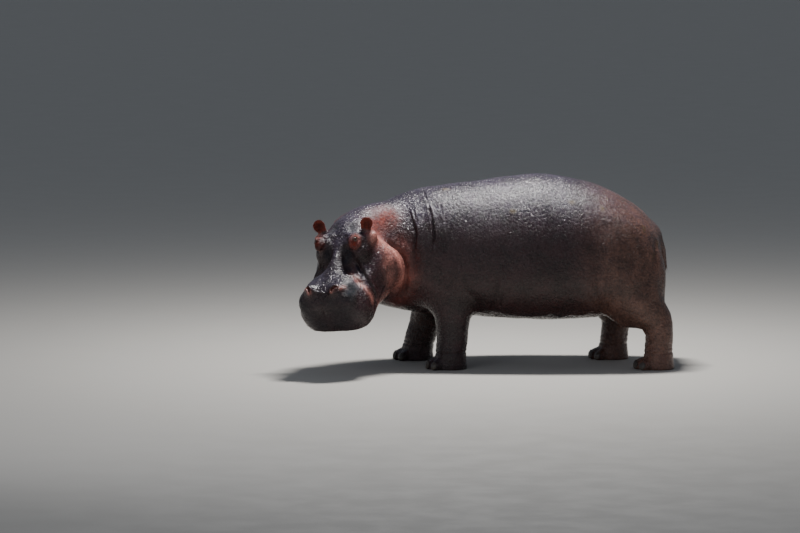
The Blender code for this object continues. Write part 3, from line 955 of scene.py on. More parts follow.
@dataclass
class Hide:
    """The one skin over all the flesh, from the lips to the tail."""

    name: str = "hide"
    proud: float = 0.0008
    grain: float = 0.0055
    soft_rounds: int = 110
    light_rounds: int = 22
    triangles: int = 145000
    foot_height: float = 0.13
    orbit_reach: float = 0.075
    ear_reach: float = 0.085
    mud_height: float = 0.004
    net_size: float = 0.055
    net_depth: float = 0.0042
    slack_size: float = 0.11
    slack_depth: float = 0.012
    flesh: tuple[str, ...] = (
        "trunk", "neck", "head", "lower_jaw", "tail", "ear_left", "ear_right",
        "foreleg_left", "foreleg_right", "hindleg_left", "hindleg_right",
        "forefoot_left", "forefoot_right", "hindfoot_left", "hindfoot_right",
    )
    piece: bpy.types.Object = field(init=False)

    def build(self) -> bpy.types.Object:
        """Draws the skin over the solids and shapes it.

        Returns:
            The finished skin.
        """
        self.cover()
        self.soften()
        Face().shape(self.piece)
        Body().shape(self.piece)
        self.wrinkle()
        applied(self.piece, "SMOOTH", factor=0.5, iterations=1)
        self.thin()
        self.refine()
        self.dress()
        return self.piece

    def cover(self) -> None:
        """Wraps the flesh and the eyes in one closed mesh."""
        copies = [merged_copy(node) for node in (*self.flesh, "eye_left", "eye_right")]
        body = joined(self.name, copies)
        applied(body, "DISPLACE", strength=self.proud, mid_level=0.0)
        self.piece = applied(body, "REMESH", mode="VOXEL", voxel_size=self.grain)

    def headness(self, points: Points) -> Points:
        """1 on the head and 0 on the body, with a smooth change at the nape."""
        local = in_head(points)
        return soft_step(local[:, 0], -0.30, -0.10) * soft_step(-points[:, 0], 0.55, 0.75)

    def softness(self, points: Points) -> Points:
        """How far each place is smoothed: broad masses fully, small forms hardly.

        Args:
            points: the skin.

        Returns:
            A share from 0 to 1 for each place.
        """
        body = 1 - self.headness(points)
        feet = 1 - soft_step(points[:, 2], 0.10, 0.24)
        body = np.clip(body * (1 - 0.95 * feet), 0.0, 1.0)
        return body * np.where(inside_box(points, "tail", 0.01), 0.03, 1.0)

    def soften(self) -> None:
        """Melts the flat faces of the solids into rounded flesh."""
        body = self.piece
        weigh(body, "broad", self.softness(places(body)))
        applied(body, "SMOOTH", factor=0.5, iterations=self.soft_rounds, vertex_group="broad")
        points = places(body)
        eyes = [np.linalg.norm(points - np.array(middle_of(f"eye_{side.value}")), axis=1) for side in Side]
        small = (points[:, 2] < self.foot_height) | (np.minimum(*eyes) < self.orbit_reach)
        small |= inside_box(points, "tail", 0.01)
        weigh(body, "fine", np.where(ear_share(points) > 0.3, 0.45, np.where(small, 0.30, 1.0)))
        applied(body, "SMOOTH", factor=0.5, iterations=self.light_rounds, vertex_group="fine")

    def wrinkle(self) -> None:
        """Presses the net of wrinkles and the slow waves of slack skin into the form."""
        body = self.piece
        points = places(body)
        ear = ear_share(points)
        feet = 1 - soft_step(points[:, 2], 0.06, 0.16)
        weigh(body, "netted", (0.25 + 0.75 * self.headness(points)) * (1 - 0.8 * ear) * (1 - 0.7 * feet))
        net = bpy.data.textures.new("wrinkle_net", "VORONOI")
        net.noise_scale = self.net_size
        net.weight_1, net.weight_2 = -1.0, 1.0
        net.noise_intensity = 1.0
        slack = bpy.data.textures.new("slack_skin", "CLOUDS")
        slack.noise_scale = self.slack_size
        slack.noise_depth = 2
        applied(body, "DISPLACE", texture=net, texture_coords="GLOBAL", strength=self.net_depth,
                mid_level=0.25, vertex_group="netted")
        weigh(body, "slack", (0.9 - 0.5 * self.headness(points)) * (1 - ear) * (1 - feet))
        applied(body, "DISPLACE", texture=slack, texture_coords="GLOBAL", strength=self.slack_depth,
                mid_level=0.5, vertex_group="slack")

    def thin(self) -> None:
        """Spends the triangles where the form is fine: most on the head, ears and feet."""
        body = self.piece
        points = places(body)
        head = self.headness(points)
        feet = 1 - soft_step(points[:, 2], 0.12, 0.30)
        creased = np.zeros(len(points))
        for fold in Body().neck_folds():
            near, best, _ = away_from(points - HEAD_ORIGIN, curve_through(fold.line), 0.05)
            creased[near] = np.maximum(creased[near], 0.8 * (1 - soft_step(best, 0.015, 0.045)))
        weigh(body, "spare", 1 - np.clip(np.maximum(0.93 * head + 0.8 * feet, creased), 0, 1))
        applied(body, "TRIANGULATE")
        applied(body, "DECIMATE", ratio=self.triangles / len(body.data.polygons), vertex_group="spare",
                vertex_group_factor=1.0)
        LOG.info("hide: %d triangles", len(body.data.polygons))

    def refine(self) -> None:
        """Opens the lids and nostrils, on a finer mesh."""
        for side in Side:
            Lids(side).shape(self.piece)
            Nostril(side).shape(self.piece)
            split_near(self.piece, np.mean(box_of(f"ear_{side.value}"), axis=0), self.ear_reach)
            self.round_ear(side)
        for along, height, size in Markings.flecks:
            split_near(self.piece, on_flank(places(self.piece), along, height, Side.LEFT), size * 1.5)
        points = places(self.piece)
        points += Markings().mud(points)[:, None] * normals(self.piece) * self.mud_height
        points[:, 2] = np.maximum(points[:, 2], 0.0)
        set_places(self.piece, points)
        LOG.info("hide: %d triangles when refined", len(self.piece.data.polygons))

    def round_ear(self, side: Side) -> None:
        """Smooths one ear's leaf, then gives it back its reach and its hollow.

        Args:
            side: which ear.
        """
        node = f"ear_{side.value}"
        points = places(self.piece)
        weigh(self.piece, node, np.where(inside_box(points, node, 0.01), ear_share(points), 0.0))
        applied(self.piece, "SMOOTH", factor=0.5, iterations=5, vertex_group=node)
        EarCup(side).shape(self.piece)
        applied(self.piece, "SMOOTH", factor=0.5, iterations=3, vertex_group=node)

    def dress(self) -> None:
        """Writes the markings, gives the skin its finish and sets it over the flesh."""
        body = self.piece
        for name, value in Markings().of(places(body), normals(body)).items():
            put_mark(body, name, value)
        take(body)
        bpy.ops.object.shade_smooth()
        body.data.materials.clear()
        body.data.materials.append(HideFinish().material())
        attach(body, "root")
        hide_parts(*self.flesh)


@dataclass(frozen=True)
class Stain:
    """A coloured patch along a line in the head's frame, fading out over its radius."""

    line: Rows
    radius: float
    share: float

    def spread(self, points: Points) -> Points:
        """The patch's share at each point, 0 to 1.

        Args:
            points: the places, in the head's frame.

        Returns:
            One share for each place.
        """
        shown = np.zeros(len(points))
        near, best, _ = away_from(points, curve_through(self.line), self.radius * 2.6)
        shown[near] = self.share * np.exp(-((best / self.radius) ** 2))
        return shown


EAR_ROOT = (-0.112, 0.174, -0.052)
EAR_WAY = (-0.60, 0.34, 0.69)


def ear_share(points: Points) -> Points:
    """1 on the free part of either ear, 0 off it, with a short blend at the root.

    Args:
        points: the places, in the world.

    Returns:
        The share at each place.
    """
    local = on_left(in_head(points))
    out = (local - np.array(EAR_ROOT)) @ np.array(EAR_WAY)
    held = np.any([inside_box(points, f"ear_{side.value}", 0.004) for side in Side], axis=0)
    return held * soft_step(out, 0.020, 0.040)


@dataclass
class Markings:
    """Where the skin is lilac, reddish, pink, orange-red or muddy, and where light and shade are painted on
    it: sky reflection on the lilac skin that faces up, shade on the reddish skin low down, in the hollows of
    the face and ears and round the eyes.
    """

    flecks: tuple[tuple[float, float, float], ...] = (
        (0.090, 0.905, 0.010), (0.355, 0.790, 0.018), (0.375, 0.775, 0.010), (0.600, 0.850, 0.011),
        (0.735, 0.860, 0.016), (0.755, 0.850, 0.010), (0.730, 0.790, 0.009), (0.960, 0.560, 0.014),
        (0.945, 0.480, 0.010), (0.905, 0.660, 0.008),
    )
    fraying: float = 110.0

    def pinks(self) -> list[Stain]:
        """Bare pink skin: behind the cheek, beside the muzzle and in the nostrils.

        Returns:
            The patches of the left side.
        """
        return [
            Stain(((-0.150, 0.230, -0.170), (-0.120, 0.270, -0.230), (-0.125, 0.305, -0.330),
                   (-0.095, 0.325, -0.400), (-0.050, 0.325, -0.460), (-0.020, 0.305, -0.530),
                   (0.040, 0.250, -0.580)), 0.072, 1.00),
            Stain(((0.060, 0.290, -0.490), (0.180, 0.270, -0.460), (0.300, 0.250, -0.410)), 0.050, 0.55),
            Stain(((-0.105, 0.240, -0.045), (-0.075, 0.250, -0.085)), 0.044, 1.00),
            Stain(((0.170, 0.120, -0.075), (0.255, 0.170, -0.100), (0.330, 0.235, -0.180),
                   (0.362, 0.265, -0.280)), 0.030, 0.80),
            Stain(((0.492, 0.095, 0.015), (0.452, 0.128, 0.010)), 0.016, 1.00),
            Stain(((0.450, 0.150, 0.000), (0.420, 0.165, -0.020)), 0.020, 0.55),
            Stain(((0.062, 0.155, -0.012), (0.040, 0.185, -0.014)), 0.014, 0.45),
            Stain(((-0.035, 0.310, -0.274), (0.035, 0.300, -0.320), (0.090, 0.290, -0.390)), 0.060, 0.62),
        ]

    def embers(self) -> list[Stain]:
        """Orange-red skin: round the eyes, behind the ears and down the roll of the neck.

        Returns:
            The patches of the left side.
        """
        return [
            Stain(((0.040, 0.160, 0.025), (-0.010, 0.165, 0.030)), 0.042, 1.00),
            Stain(((-0.210, 0.195, -0.130), (-0.300, 0.190, -0.160), (-0.400, 0.215, -0.210)), 0.085, 0.80),
            Stain(((-0.260, 0.300, -0.350), (-0.190, 0.350, -0.430), (-0.090, 0.345, -0.540),
                   (-0.010, 0.240, -0.720), (0.010, 0.120, -0.780)), 0.075, 0.34),
        ]

    def hollow_shades(self) -> list[Stain]:
        """Painted shade and painted sky reflection, dark blue-grey: in the hollows of the face and over the
        front of the muzzle.

        Returns:
            The patches of the left side.
        """
        return [
            Stain(((0.080, 0.085, -0.040), (0.150, 0.090, -0.070)), 0.045, 0.85),
            Stain(((0.470, 0.210, -0.065), (0.390, 0.200, -0.080)), 0.050, 1.00),
            Stain(((-0.150, 0.080, 0.000), (-0.110, 0.095, 0.000)), 0.035, 0.70),
            Stain(((0.580, 0.150, -0.120), (0.600, 0.100, -0.250)), 0.110, 0.50),
            Stain(((-0.030, 0.235, -0.030), (-0.060, 0.200, -0.010)), 0.022, 0.60),
        ]

    def strongest(self, stains: Sequence[Stain], local: Points) -> Points:
        """The strongest of the patches at each place, on either side of the head."""
        return np.max([stain.spread(on_left(local)) for stain in stains], axis=0)

    def lid_shade(self, points: Points) -> Points:
        """Painted shade round the eye's opening, along the edges of the lids.

        Args:
            points: the places, in the world.

        Returns:
            A share from 0 to 1 for each place.
        """
        shown = np.zeros(len(points))
        for side in Side:
            low, high = box_of(f"eye_{side.value}")
            spot = (low + high) / 2 + Eye(side).axes()[0] * float(np.max(high - low)) / 2
            shown = np.maximum(shown, 1 - soft_step(np.linalg.norm(points - spot, axis=1), 0.014, 0.030))
        return shown

    def mud(self, points: Points) -> Points:
        """Flecks of dried mud along the back, with ragged edges.

        Args:
            points: the places, in the world.

        Returns:
            A share from 0 to 1 for each place.
        """
        shown = np.zeros(len(points))
        for along, height, size in self.flecks:
            spot = on_flank(points, along, height, Side.LEFT)
            away = np.linalg.norm(points - spot, axis=1)
            for index in np.nonzero(away < size * 1.6)[0]:
                ragged = noise.noise(Vector(points[index]) * self.fraying) * 1.3
                share = float(np.clip((1.0 + ragged - away[index] / size) * 2.5, 0, 1))
                shown[index] = max(shown[index], share)
        return shown

    def ear_cups(self, points: Points, facing: Points, ear: Points) -> tuple[Points, Points]:
        """How far each place lies in an ear's hollow, and in the middle of it, where shade is painted.

        Args:
            points: the places, in the world.
            facing: which way the skin faces there.
            ear: each place's share of an ear.

        Returns:
            Two shares from 0 to 1 for each place.
        """
        inside, middle = np.zeros(len(points)), np.zeros(len(points))
        for cup in (EarCup(side) for side in Side):
            cup.measure(points, facing)
            inside[cup.chosen] = ear[cup.chosen] * cup.within
            middle[cup.chosen] = inside[cup.chosen] * (1 - soft_step(cup.ring, 0.35, 0.80))
        return inside, middle

    def of(self, points: Points, facing: Points) -> dict[str, Points]:
        """The markings at each place.

        Args:
            points: the places in the world.
            facing: which way the skin faces there.

        Returns:
            A share from 0 to 1 for each marking and place.
        """
        local = in_head(points)
        ear = ear_share(points)
        inside, middle = self.ear_cups(points, facing, ear)
        # the high skin that faces up is grey-lilac of its own, made bluer as painted sky reflection; the low
        # skin that faces down is reddish brown of its own, made darker as painted shade
        above = soft_step(facing[:, 2] + 0.35 * (points[:, 2] - 1.0), 0.15, 0.75)
        below = 1 - soft_step(points[:, 2] - 0.25 * facing[:, 2], 0.45, 0.85)
        rump = soft_step(points[:, 0], 0.55, 1.2)
        pink = self.strongest(self.pinks(), local)
        ember = self.strongest(self.embers(), local)
        # painted shade and painted sky reflection in the face's hollows and over the muzzle's front
        hollow_shade = self.strongest(self.hollow_shades(), local)
        return {
            # painted sky reflection on the skin that faces up, painted shade on the low skin
            "above": above * (1 - ear),
            "below": below * soft_step(-local[:, 0], -0.1, 0.2),
            "rump": rump * (1 - 0.3 * above),
            "hollow_shade": hollow_shade * (1 - ear),
            "pink": pink * (1 - ear),
            "ember": np.maximum(ember * (1 - ear), 0.72 * ear + 0.28 * inside),
            # painted shade in the middle of each ear's hollow and round each eye's opening
            "cup": np.maximum(0.42 * middle, 0.70 * self.lid_shade(points)),
            "mud": self.mud(points),
        }


# ---- finishes ------------------------------------------------------------------------------------
Colour = tuple[float, float, float]


class Board:
    """A material's nodes, laid out one at a time."""

    def __init__(self, name: str) -> None:
        """Starts an empty material with a shader and an output.

        Args:
            name: the material's name.
        """
        self.material = bpy.data.materials.new(name)
        self.material.use_nodes = True
        self.tree = self.material.node_tree
        self.tree.nodes.clear()
        self.shader = self.node("BsdfPrincipled")
        output = self.node("OutputMaterial")
        self.tree.links.new(self.shader.outputs[0], output.inputs[0])
        self.place = self.node("TexCoord").outputs["Object"]

    def node(self, kind: str, **settings: object) -> bpy.types.Node:
        """Adds one shader node and sets its properties.

        Args:
            kind: the node's type, without its prefix.
            settings: the node's own properties.

        Returns:
            The node.
        """
        made = self.tree.nodes.new(f"ShaderNode{kind}")
        for name, value in settings.items():
            setattr(made, name, value)
        return made

    def feed(self, socket: bpy.types.NodeSocket, value: object) -> None:
        """Links an output to a socket, or sets the socket to a plain value.

        Args:
            socket: the socket.
            value: an output, a number or a colour.
        """
        if isinstance(value, bpy.types.NodeSocket):
            self.tree.links.new(value, socket)
        elif isinstance(value, tuple) and len(value) == 3 and socket.type == "RGBA":
            socket.default_value = (*value, 1.0)
        else:
            socket.default_value = value

    def shine(self, **sockets: object) -> None:
        """Sets the shader's own sockets, named with underscores for spaces."""
        for name, value in sockets.items():
            self.feed(self.shader.inputs[name.replace("_", " ")], value)

    def clouds(self, scale: float, detail: float = 3.0, rough: float = 0.55,
               twist: float = 0.0) -> bpy.types.NodeSocket:
        """Soft noise of the given scale, in spots per metre.

        Args:
            scale: spots per metre.
            detail: how many finer layers it has.
            rough: how strong they are.
            twist: how far it is distorted.

        Returns:
            The noise, from 0 to 1.
        """
        made = self.node("TexNoise")
        for name, value in (("Vector", self.place), ("Scale", scale), ("Detail", detail),
                            ("Roughness", rough), ("Distortion", twist)):
            self.feed(made.inputs[name], value)
        return made.outputs["Fac"]

    def cells(self, scale: float, at: object, feature: str = "DISTANCE_TO_EDGE") -> bpy.types.NodeSocket:
        """Cracked cells of the given scale, in cells per metre.

        Args:
            scale: cells per metre.
            at: the coordinates.
            feature: which distance is taken.

        Returns:
            The distance.
        """
        made = self.node("TexVoronoi", feature=feature)
        self.feed(made.inputs["Vector"], at)
        self.feed(made.inputs["Scale"], scale)
        return made.outputs["Distance"]

    def sum(self, a: object, b: object, kind: str = "ADD", clamp: bool = False) -> bpy.types.NodeSocket:
        """One step of arithmetic on two values.

        Args:
            a: the first value.
            b: the second value.
            kind: the sum's operation.
            clamp: whether the result is held from 0 to 1.

        Returns:
            The result.
        """
        made = self.node("Math", operation=kind, use_clamp=clamp)
        self.feed(made.inputs[0], a)
        self.feed(made.inputs[1], b)
        return made.outputs[0]

    def total(self, *terms: tuple[object, float]) -> bpy.types.NodeSocket:
        """The sum of several values, each times a weight of its own.

        Args:
            terms: each value with its weight.

        Returns:
            The result.
        """
        first, *others = [self.sum(value, weight, "MULTIPLY") for value, weight in terms]
        for other in others:
            first = self.sum(first, other)
        return first

    def span(self, value: object, low: float, high: float, to_low: float = 0.0,
             to_high: float = 1.0) -> bpy.types.NodeSocket:
        """Spreads a value from one range over another, held at its ends.

        Args:
            value: the value.
            low: the start of its range.
            high: the end of its range.
            to_low: what the start becomes.
            to_high: what the end becomes.

        Returns:
            The result.
        """
        made = self.node("MapRange", clamp=True, interpolation_type="SMOOTHSTEP")
        for name, number in (("Value", value), ("From Min", low), ("From Max", high),
                             ("To Min", to_low), ("To Max", to_high)):
            self.feed(made.inputs[name], number)
        return made.outputs[0]

    def mix(self, share: object, first: object, second: object, kind: str = "MIX") -> bpy.types.NodeSocket:
        """Blends two colours by a share from 0 to 1.

        Args:
            share: the second colour's share.
            first: the first colour.
            second: the second colour.
            kind: how they blend.

        Returns:
            The blended colour.
        """
        made = self.node("Mix", data_type="RGBA", blend_type=kind)
        self.feed(made.inputs[0], share)
        self.feed(made.inputs[6], first)
        self.feed(made.inputs[7], second)
        return made.outputs[2]

    def grey(self, value: object) -> bpy.types.NodeSocket:
        """A value as a grey of that brightness.

        Args:
            value: the value.

        Returns:
            The colour.
        """
        made = self.node("CombineColor")
        for index in range(3):
            self.feed(made.inputs[index], value)
        return made.outputs[0]

    def mark(self, name: str) -> bpy.types.NodeSocket:
        """A marking that is written on the mesh."""
        return self.node("Attribute", attribute_name=name).outputs["Fac"]

    def relief(self, height: object, depth: float, strength: float = 1.0) -> bpy.types.NodeSocket:
        """A bump of the given depth in metres.

        Args:
            height: the relief, in its own units.
            depth: metres for each of them.
            strength: how strongly it shows.

        Returns:
            The bent normal.
        """
        made = self.node("Bump")
        for name, value in (("Height", height), ("Distance", depth), ("Strength", strength)):
            self.feed(made.inputs[name], value)
        return made.outputs[0]

    def drifted(self, scale: float, amount: float) -> bpy.types.NodeSocket:
        """The object's coordinates, pushed about by slow noise.

        Args:
            scale: the noise's spots per metre.
            amount: how far it pushes, in metres.

        Returns:
            The coordinates.
        """
        swirl = self.node("TexNoise")
        for name, value in (("Vector", self.place), ("Scale", scale), ("Detail", 3.0)):
            self.feed(swirl.inputs[name], value)
        drift = self.node("VectorMath", operation="SCALE")
        self.feed(drift.inputs[0], swirl.outputs["Color"])
        self.feed(drift.inputs["Scale"], amount)
        warped = self.node("VectorMath", operation="ADD")
        self.feed(warped.inputs[0], self.place)
        self.feed(warped.inputs[1], drift.outputs[0])
        return warped.outputs[0]


@dataclass(frozen=True)
class HideFinish:
    """Wet, finely cracked skin, grey-lilac above and reddish brown below, with painted sky reflection on the
    skin that faces up and painted shade low down, in the cracks and in the hollows.
    """

    # back: own grey-lilac with painted sky reflection on the skin that faces up; below: own reddish brown
    # with painted shade
    back: Colour = (0.033, 0.026, 0.044)
    flank: Colour = (0.030, 0.0110, 0.0130)
    below: Colour = (0.036, 0.0085, 0.0042)
    rump: Colour = (0.145, 0.070, 0.050)
    pink: Colour = (0.55, 0.220, 0.180)
    ember: Colour = (0.23, 0.036, 0.020)
    # painted shade and painted sky reflection: the dark blue-grey of the face's hollows and the muzzle's
    # front
    hollow_shade: Colour = (0.007, 0.013, 0.020)
    # painted shade in the ears' hollows and round the eyes' openings
    cup: Colour = (0.030, 0.012, 0.010)
    mud: Colour = (0.085, 0.045, 0.010)
    speck: Colour = (0.150, 0.088, 0.086)
    cracks: float = 88.0
    fine_cracks: float = 230.0
    pebbles: float = 57.0
    creep: float = 42.0
    pores: float = 420.0
    wet_spots: float = 46.0
    depth: float = 0.0031
    wettest: float = 0.11
    driest: float = 0.36
    dulled: tuple[tuple[str, float], ...] = (("mud", 0.40), ("hollow_shade", 0.85), ("ember", 0.75))

    def marked(self, board: Board) -> bpy.types.NodeSocket:
        """The skin's colour from the markings on the mesh, with its painted shade and painted sky
        reflection, mottled.

        Args:
            board: the material's board.

        Returns:
            The colour.
        """
        broad = board.clouds(2.3, 3, 0.6, 0.4)
        patch = board.clouds(9.0, 4, 0.65, 0.6)
        fine = board.clouds(55.0, 4, 0.7)
        edges = board.sum(board.clouds(16.0, 4, 0.7, 0.5), board.clouds(70.0, 3, 0.7))
        ragged = board.span(edges, 0.75, 1.25, 0.55, 1.35)
        # painted sky reflection on the skin that faces up, painted shade on the low skin and in the face's
        # hollows
        colour = board.mix(board.mark("above"), self.flank, self.back)
        for name in ("below", "rump", "hollow_shade", "pink", "ember"):
            share = board.sum(board.mark(name), ragged, "MULTIPLY", clamp=True)
            colour = board.mix(share, colour, getattr(self, name))
        # the first mark is painted shade in the ears' hollows and round the eyes; the mud is dried mud
        for name in ("cup", "mud"):
            colour = board.mix(board.mark(name), colour, getattr(self, name))
        speck = board.span(board.clouds(105.0, 3, 0.75), 0.54, 0.64, 0.0, 0.30)
        colour = board.mix(speck, colour, self.speck)
        mottle = board.span(board.sum(broad, board.sum(patch, fine), "ADD"), 1.15, 1.85, 0.52, 1.48)
        return board.mix(1.0, colour, board.grey(mottle), "MULTIPLY")

    def material(self) -> bpy.types.Material:
        """Builds the hide's material: its colour, its net of cracks with painted shade along them, and its
        wet patches.

        Returns:
            The material.
        """
        board = Board("hide")
        colour = self.marked(board)
        skin = board.drifted(14.0, 0.025)
        crack = board.span(board.cells(self.cracks, skin), 0.0, 0.14)
        small = board.span(board.cells(self.fine_cracks, skin), 0.0, 0.22)
        pebble = board.cells(self.pebbles, skin, "F1")
        pebble = board.sum(pebble, pebble, "MULTIPLY")
        creep, pores = board.clouds(self.creep, 2, 0.5), board.clouds(self.pores, 2, 0.5)
        height = board.total((crack, 0.24), (small, 0.10), (pebble, -1.0), (creep, 1.60), (pores, 0.08))
        # painted shade: the colour is darkened along the cracks
        crack_shade = board.span(board.sum(crack, small, "MULTIPLY"), 0.0, 0.7, 0.78, 1.0)
        wet = board.span(board.clouds(self.wet_spots, 5, 0.75), 0.44, 0.56, self.driest, self.wettest)
        dull = board.total(*((board.mark(name), share) for name, share in self.dulled))
        board.shine(
            Base_Color=board.mix(1.0, colour, board.grey(crack_shade), "MULTIPLY"),
            Roughness=board.sum(wet, dull),
            Normal=board.relief(height, self.depth, 0.9),
            Specular_IOR_Level=0.50,
        )
        return board.material


@dataclass(frozen=True)
class BristleFinish:
    """Stiff hair: the skin's own colours at the root, horn towards the tip."""

    pale: Colour = (0.30, 0.22, 0.19)
    dark: Colour = (0.030, 0.022, 0.020)

    def material(self) -> bpy.types.Material:
        """Builds the bristles' material from the markings on the mesh.

        Returns:
            The material.
        """
        board = Board("bristle")
        streak = board.clouds(160.0, 3, 0.6)
        horn = board.mix(board.mark("darkness"), self.pale, self.dark)
        share = board.sum(board.mark("toward_tip"), 0.75, "MULTIPLY")
        colour = board.mix(share, HideFinish().marked(board), horn)
        shade = board.grey(board.span(streak, 0.3, 0.7, 0.75, 1.25))
        board.shine(
            Base_Color=board.mix(1.0, colour, shade, "MULTIPLY"),
            Roughness=board.span(streak, 0.3, 0.7, 0.35, 0.55),
        )
        return board.material


@dataclass(frozen=True)
class EyeFinish:
    """A wet dark eye with a brown iris and a flat-lying pupil."""

    white: Colour = (0.055, 0.022, 0.016)
    iris: Colour = (0.050, 0.020, 0.008)
    rim: Colour = (0.010, 0.006, 0.004)
    pupil: Colour = (0.002, 0.002, 0.002)

    def material(self) -> bpy.types.Material:
        """Builds the eye's material from the markings on the mesh.

        Returns:
            The material.
        """
        board = Board("eye")
        out = board.mark("from_gaze")
        streaks = board.clouds(420.0, 4, 0.7)
        colour = board.mix(board.span(out, 0.50, 0.56), self.iris, self.rim)
        colour = board.mix(board.span(out, 0.60, 0.68), colour, self.white)
        colour = board.mix(board.span(board.mark("pupil"), 0.9, 1.05), self.pupil, colour)
        shade = board.grey(board.span(streaks, 0.3, 0.7, 0.7, 1.3))
        board.shine(
            Base_Color=board.mix(1.0, colour, shade, "MULTIPLY"),
            Roughness=board.span(streaks, 0.3, 0.7, 0.06, 0.12),
            Normal=board.relief(streaks, 0.0002, 0.2),
            Coat_Weight=0.5,
            Coat_Roughness=0.03,
        )
        return board.material


@dataclass(frozen=True)
class NailFinish:
    """Blunt horn, dark and worn pale at its lower edge."""

    horn: Colour = (0.055, 0.043, 0.036)
    worn: Colour = (0.16, 0.13, 0.10)

    def material(self) -> bpy.types.Material:
        """Builds the nails' material.

        Returns:
            The material.
        """
        board = Board("nail")
        height = board.node("SeparateXYZ")
        board.feed(height.inputs[0], board.place)
        grain = board.clouds(90.0, 4, 0.65, 0.4)
        fine = board.clouds(500.0, 3, 0.6)
        level = board.sum(height.outputs[2], board.sum(grain, 0.03, "MULTIPLY"))
        low = board.span(level, 0.022, 0.055, 1.0, 0.0)
        board.shine(
            Base_Color=board.mix(board.sum(low, 0.7, "MULTIPLY"), self.horn, self.worn),
            Roughness=board.span(grain, 0.3, 0.7, 0.38, 0.62),
            Normal=board.relief(board.sum(grain, fine), 0.0015, 0.6),
            Coat_Weight=0.25,
            Coat_Roughness=0.25,
        )
        return board.material


@dataclass(frozen=True)
class FloorFinish:
    """A plain pale floor."""

    pale: Colour = (0.46, 0.445, 0.42)

    def material(self) -> bpy.types.Material:
        """Builds the floor's material.

        Returns:
            The material.
        """
        board = Board("floor")
        grain = board.clouds(3.0, 3, 0.5)
        board.shine(
            Base_Color=self.pale,
            Roughness=board.span(grain, 0.3, 0.7, 0.75, 0.85),
        )
        return board.material


# ---- eyes and nails ------------------------------------------------------------------------------
@dataclass
class Eye:
    """One eyeball, deep in its raised orbit."""

    side: Side
    gaze: tuple[float, float, float] = (0.18, 0.72, 0.67)
    slit: tuple[float, float, float] = (0.97, 0.0, -0.25)
    pupil_size: tuple[float, float] = (0.36, 0.17)
    bulge: float = 0.05
    hidden: float = 9.0
    piece: bpy.types.Object = field(init=False)

    def axes(self) -> tuple[Points, Points, Points]:
        """The gaze, the way along the lids and the way up, in the world.

        Returns:
            The three directions, each of length one.
        """
        flip = np.array([1.0, self.side.sign, 1.0])
        gaze = HEAD_TURN @ (np.array(self.gaze) * flip)
        gaze /= np.linalg.norm(gaze)
        along = HEAD_TURN @ np.array(self.slit)
        along -= gaze * (along @ gaze)
        along /= np.linalg.norm(along)
        up = np.cross(gaze, along) * self.side.sign
        return gaze, along, up

    def build(self, finish: bpy.types.Material) -> bpy.types.Object:
        """Makes the ball and marks its iris and pupil.

        Args:
            finish: the eye's material.

        Returns:
            The finished eye.
        """
        node = f"eye_{self.side.value}"
        low, high = (Vector(corner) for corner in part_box(node))
        middle, radius = (low + high) / 2, max(high - low) / 2
        bpy.ops.object.select_all(action="DESELECT")
        bpy.ops.mesh.primitive_uv_sphere_add(segments=56, ring_count=36, radius=radius, location=middle)
        ball = bpy.context.object
        ball.name = ball.data.name = f"eyeball_{self.side.value}"
        bpy.ops.object.transform_apply(location=True, rotation=True, scale=True)
        gaze, along, up = self.axes()
        out = (places(ball) - np.array(middle)) / radius
        forward = out @ gaze
        cornea = 1 + self.bulge * soft_step(forward, 0.80, 1.0)
        set_places(ball, np.array(middle) + out * radius * cornea[:, None])
        tilt = np.stack([out @ along / self.pupil_size[0], out @ up / self.pupil_size[1]])
        behind = np.where(forward > 0, 0.0, self.hidden)
        put_mark(ball, "from_gaze", np.sqrt(1 - np.clip(forward, 0, 1) ** 2) + behind)
        put_mark(ball, "pupil", np.hypot(*tilt) + behind)
        bpy.ops.object.shade_smooth()
        ball.data.materials.append(finish)
        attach(ball, "root")
        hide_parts(node)
        self.piece = ball
        return ball


def put_mark(obj: bpy.types.Object, name: str, value: Points) -> None:
    """Writes a marking, one number for each vertex."""
    layer = obj.data.attributes.new(name, "FLOAT", "POINT")
    layer.data.foreach_set("value", value.astype(np.float32))


@dataclass(frozen=True)
class Surface:
    """The skin's vertices in the world, and which way it faces at each."""

    points: Points
    facing: Points

    def local(self) -> Points:
        """The vertices in the head's frame."""
        return in_head(self.points)


Chosen = tuple[np.ndarray, Points]


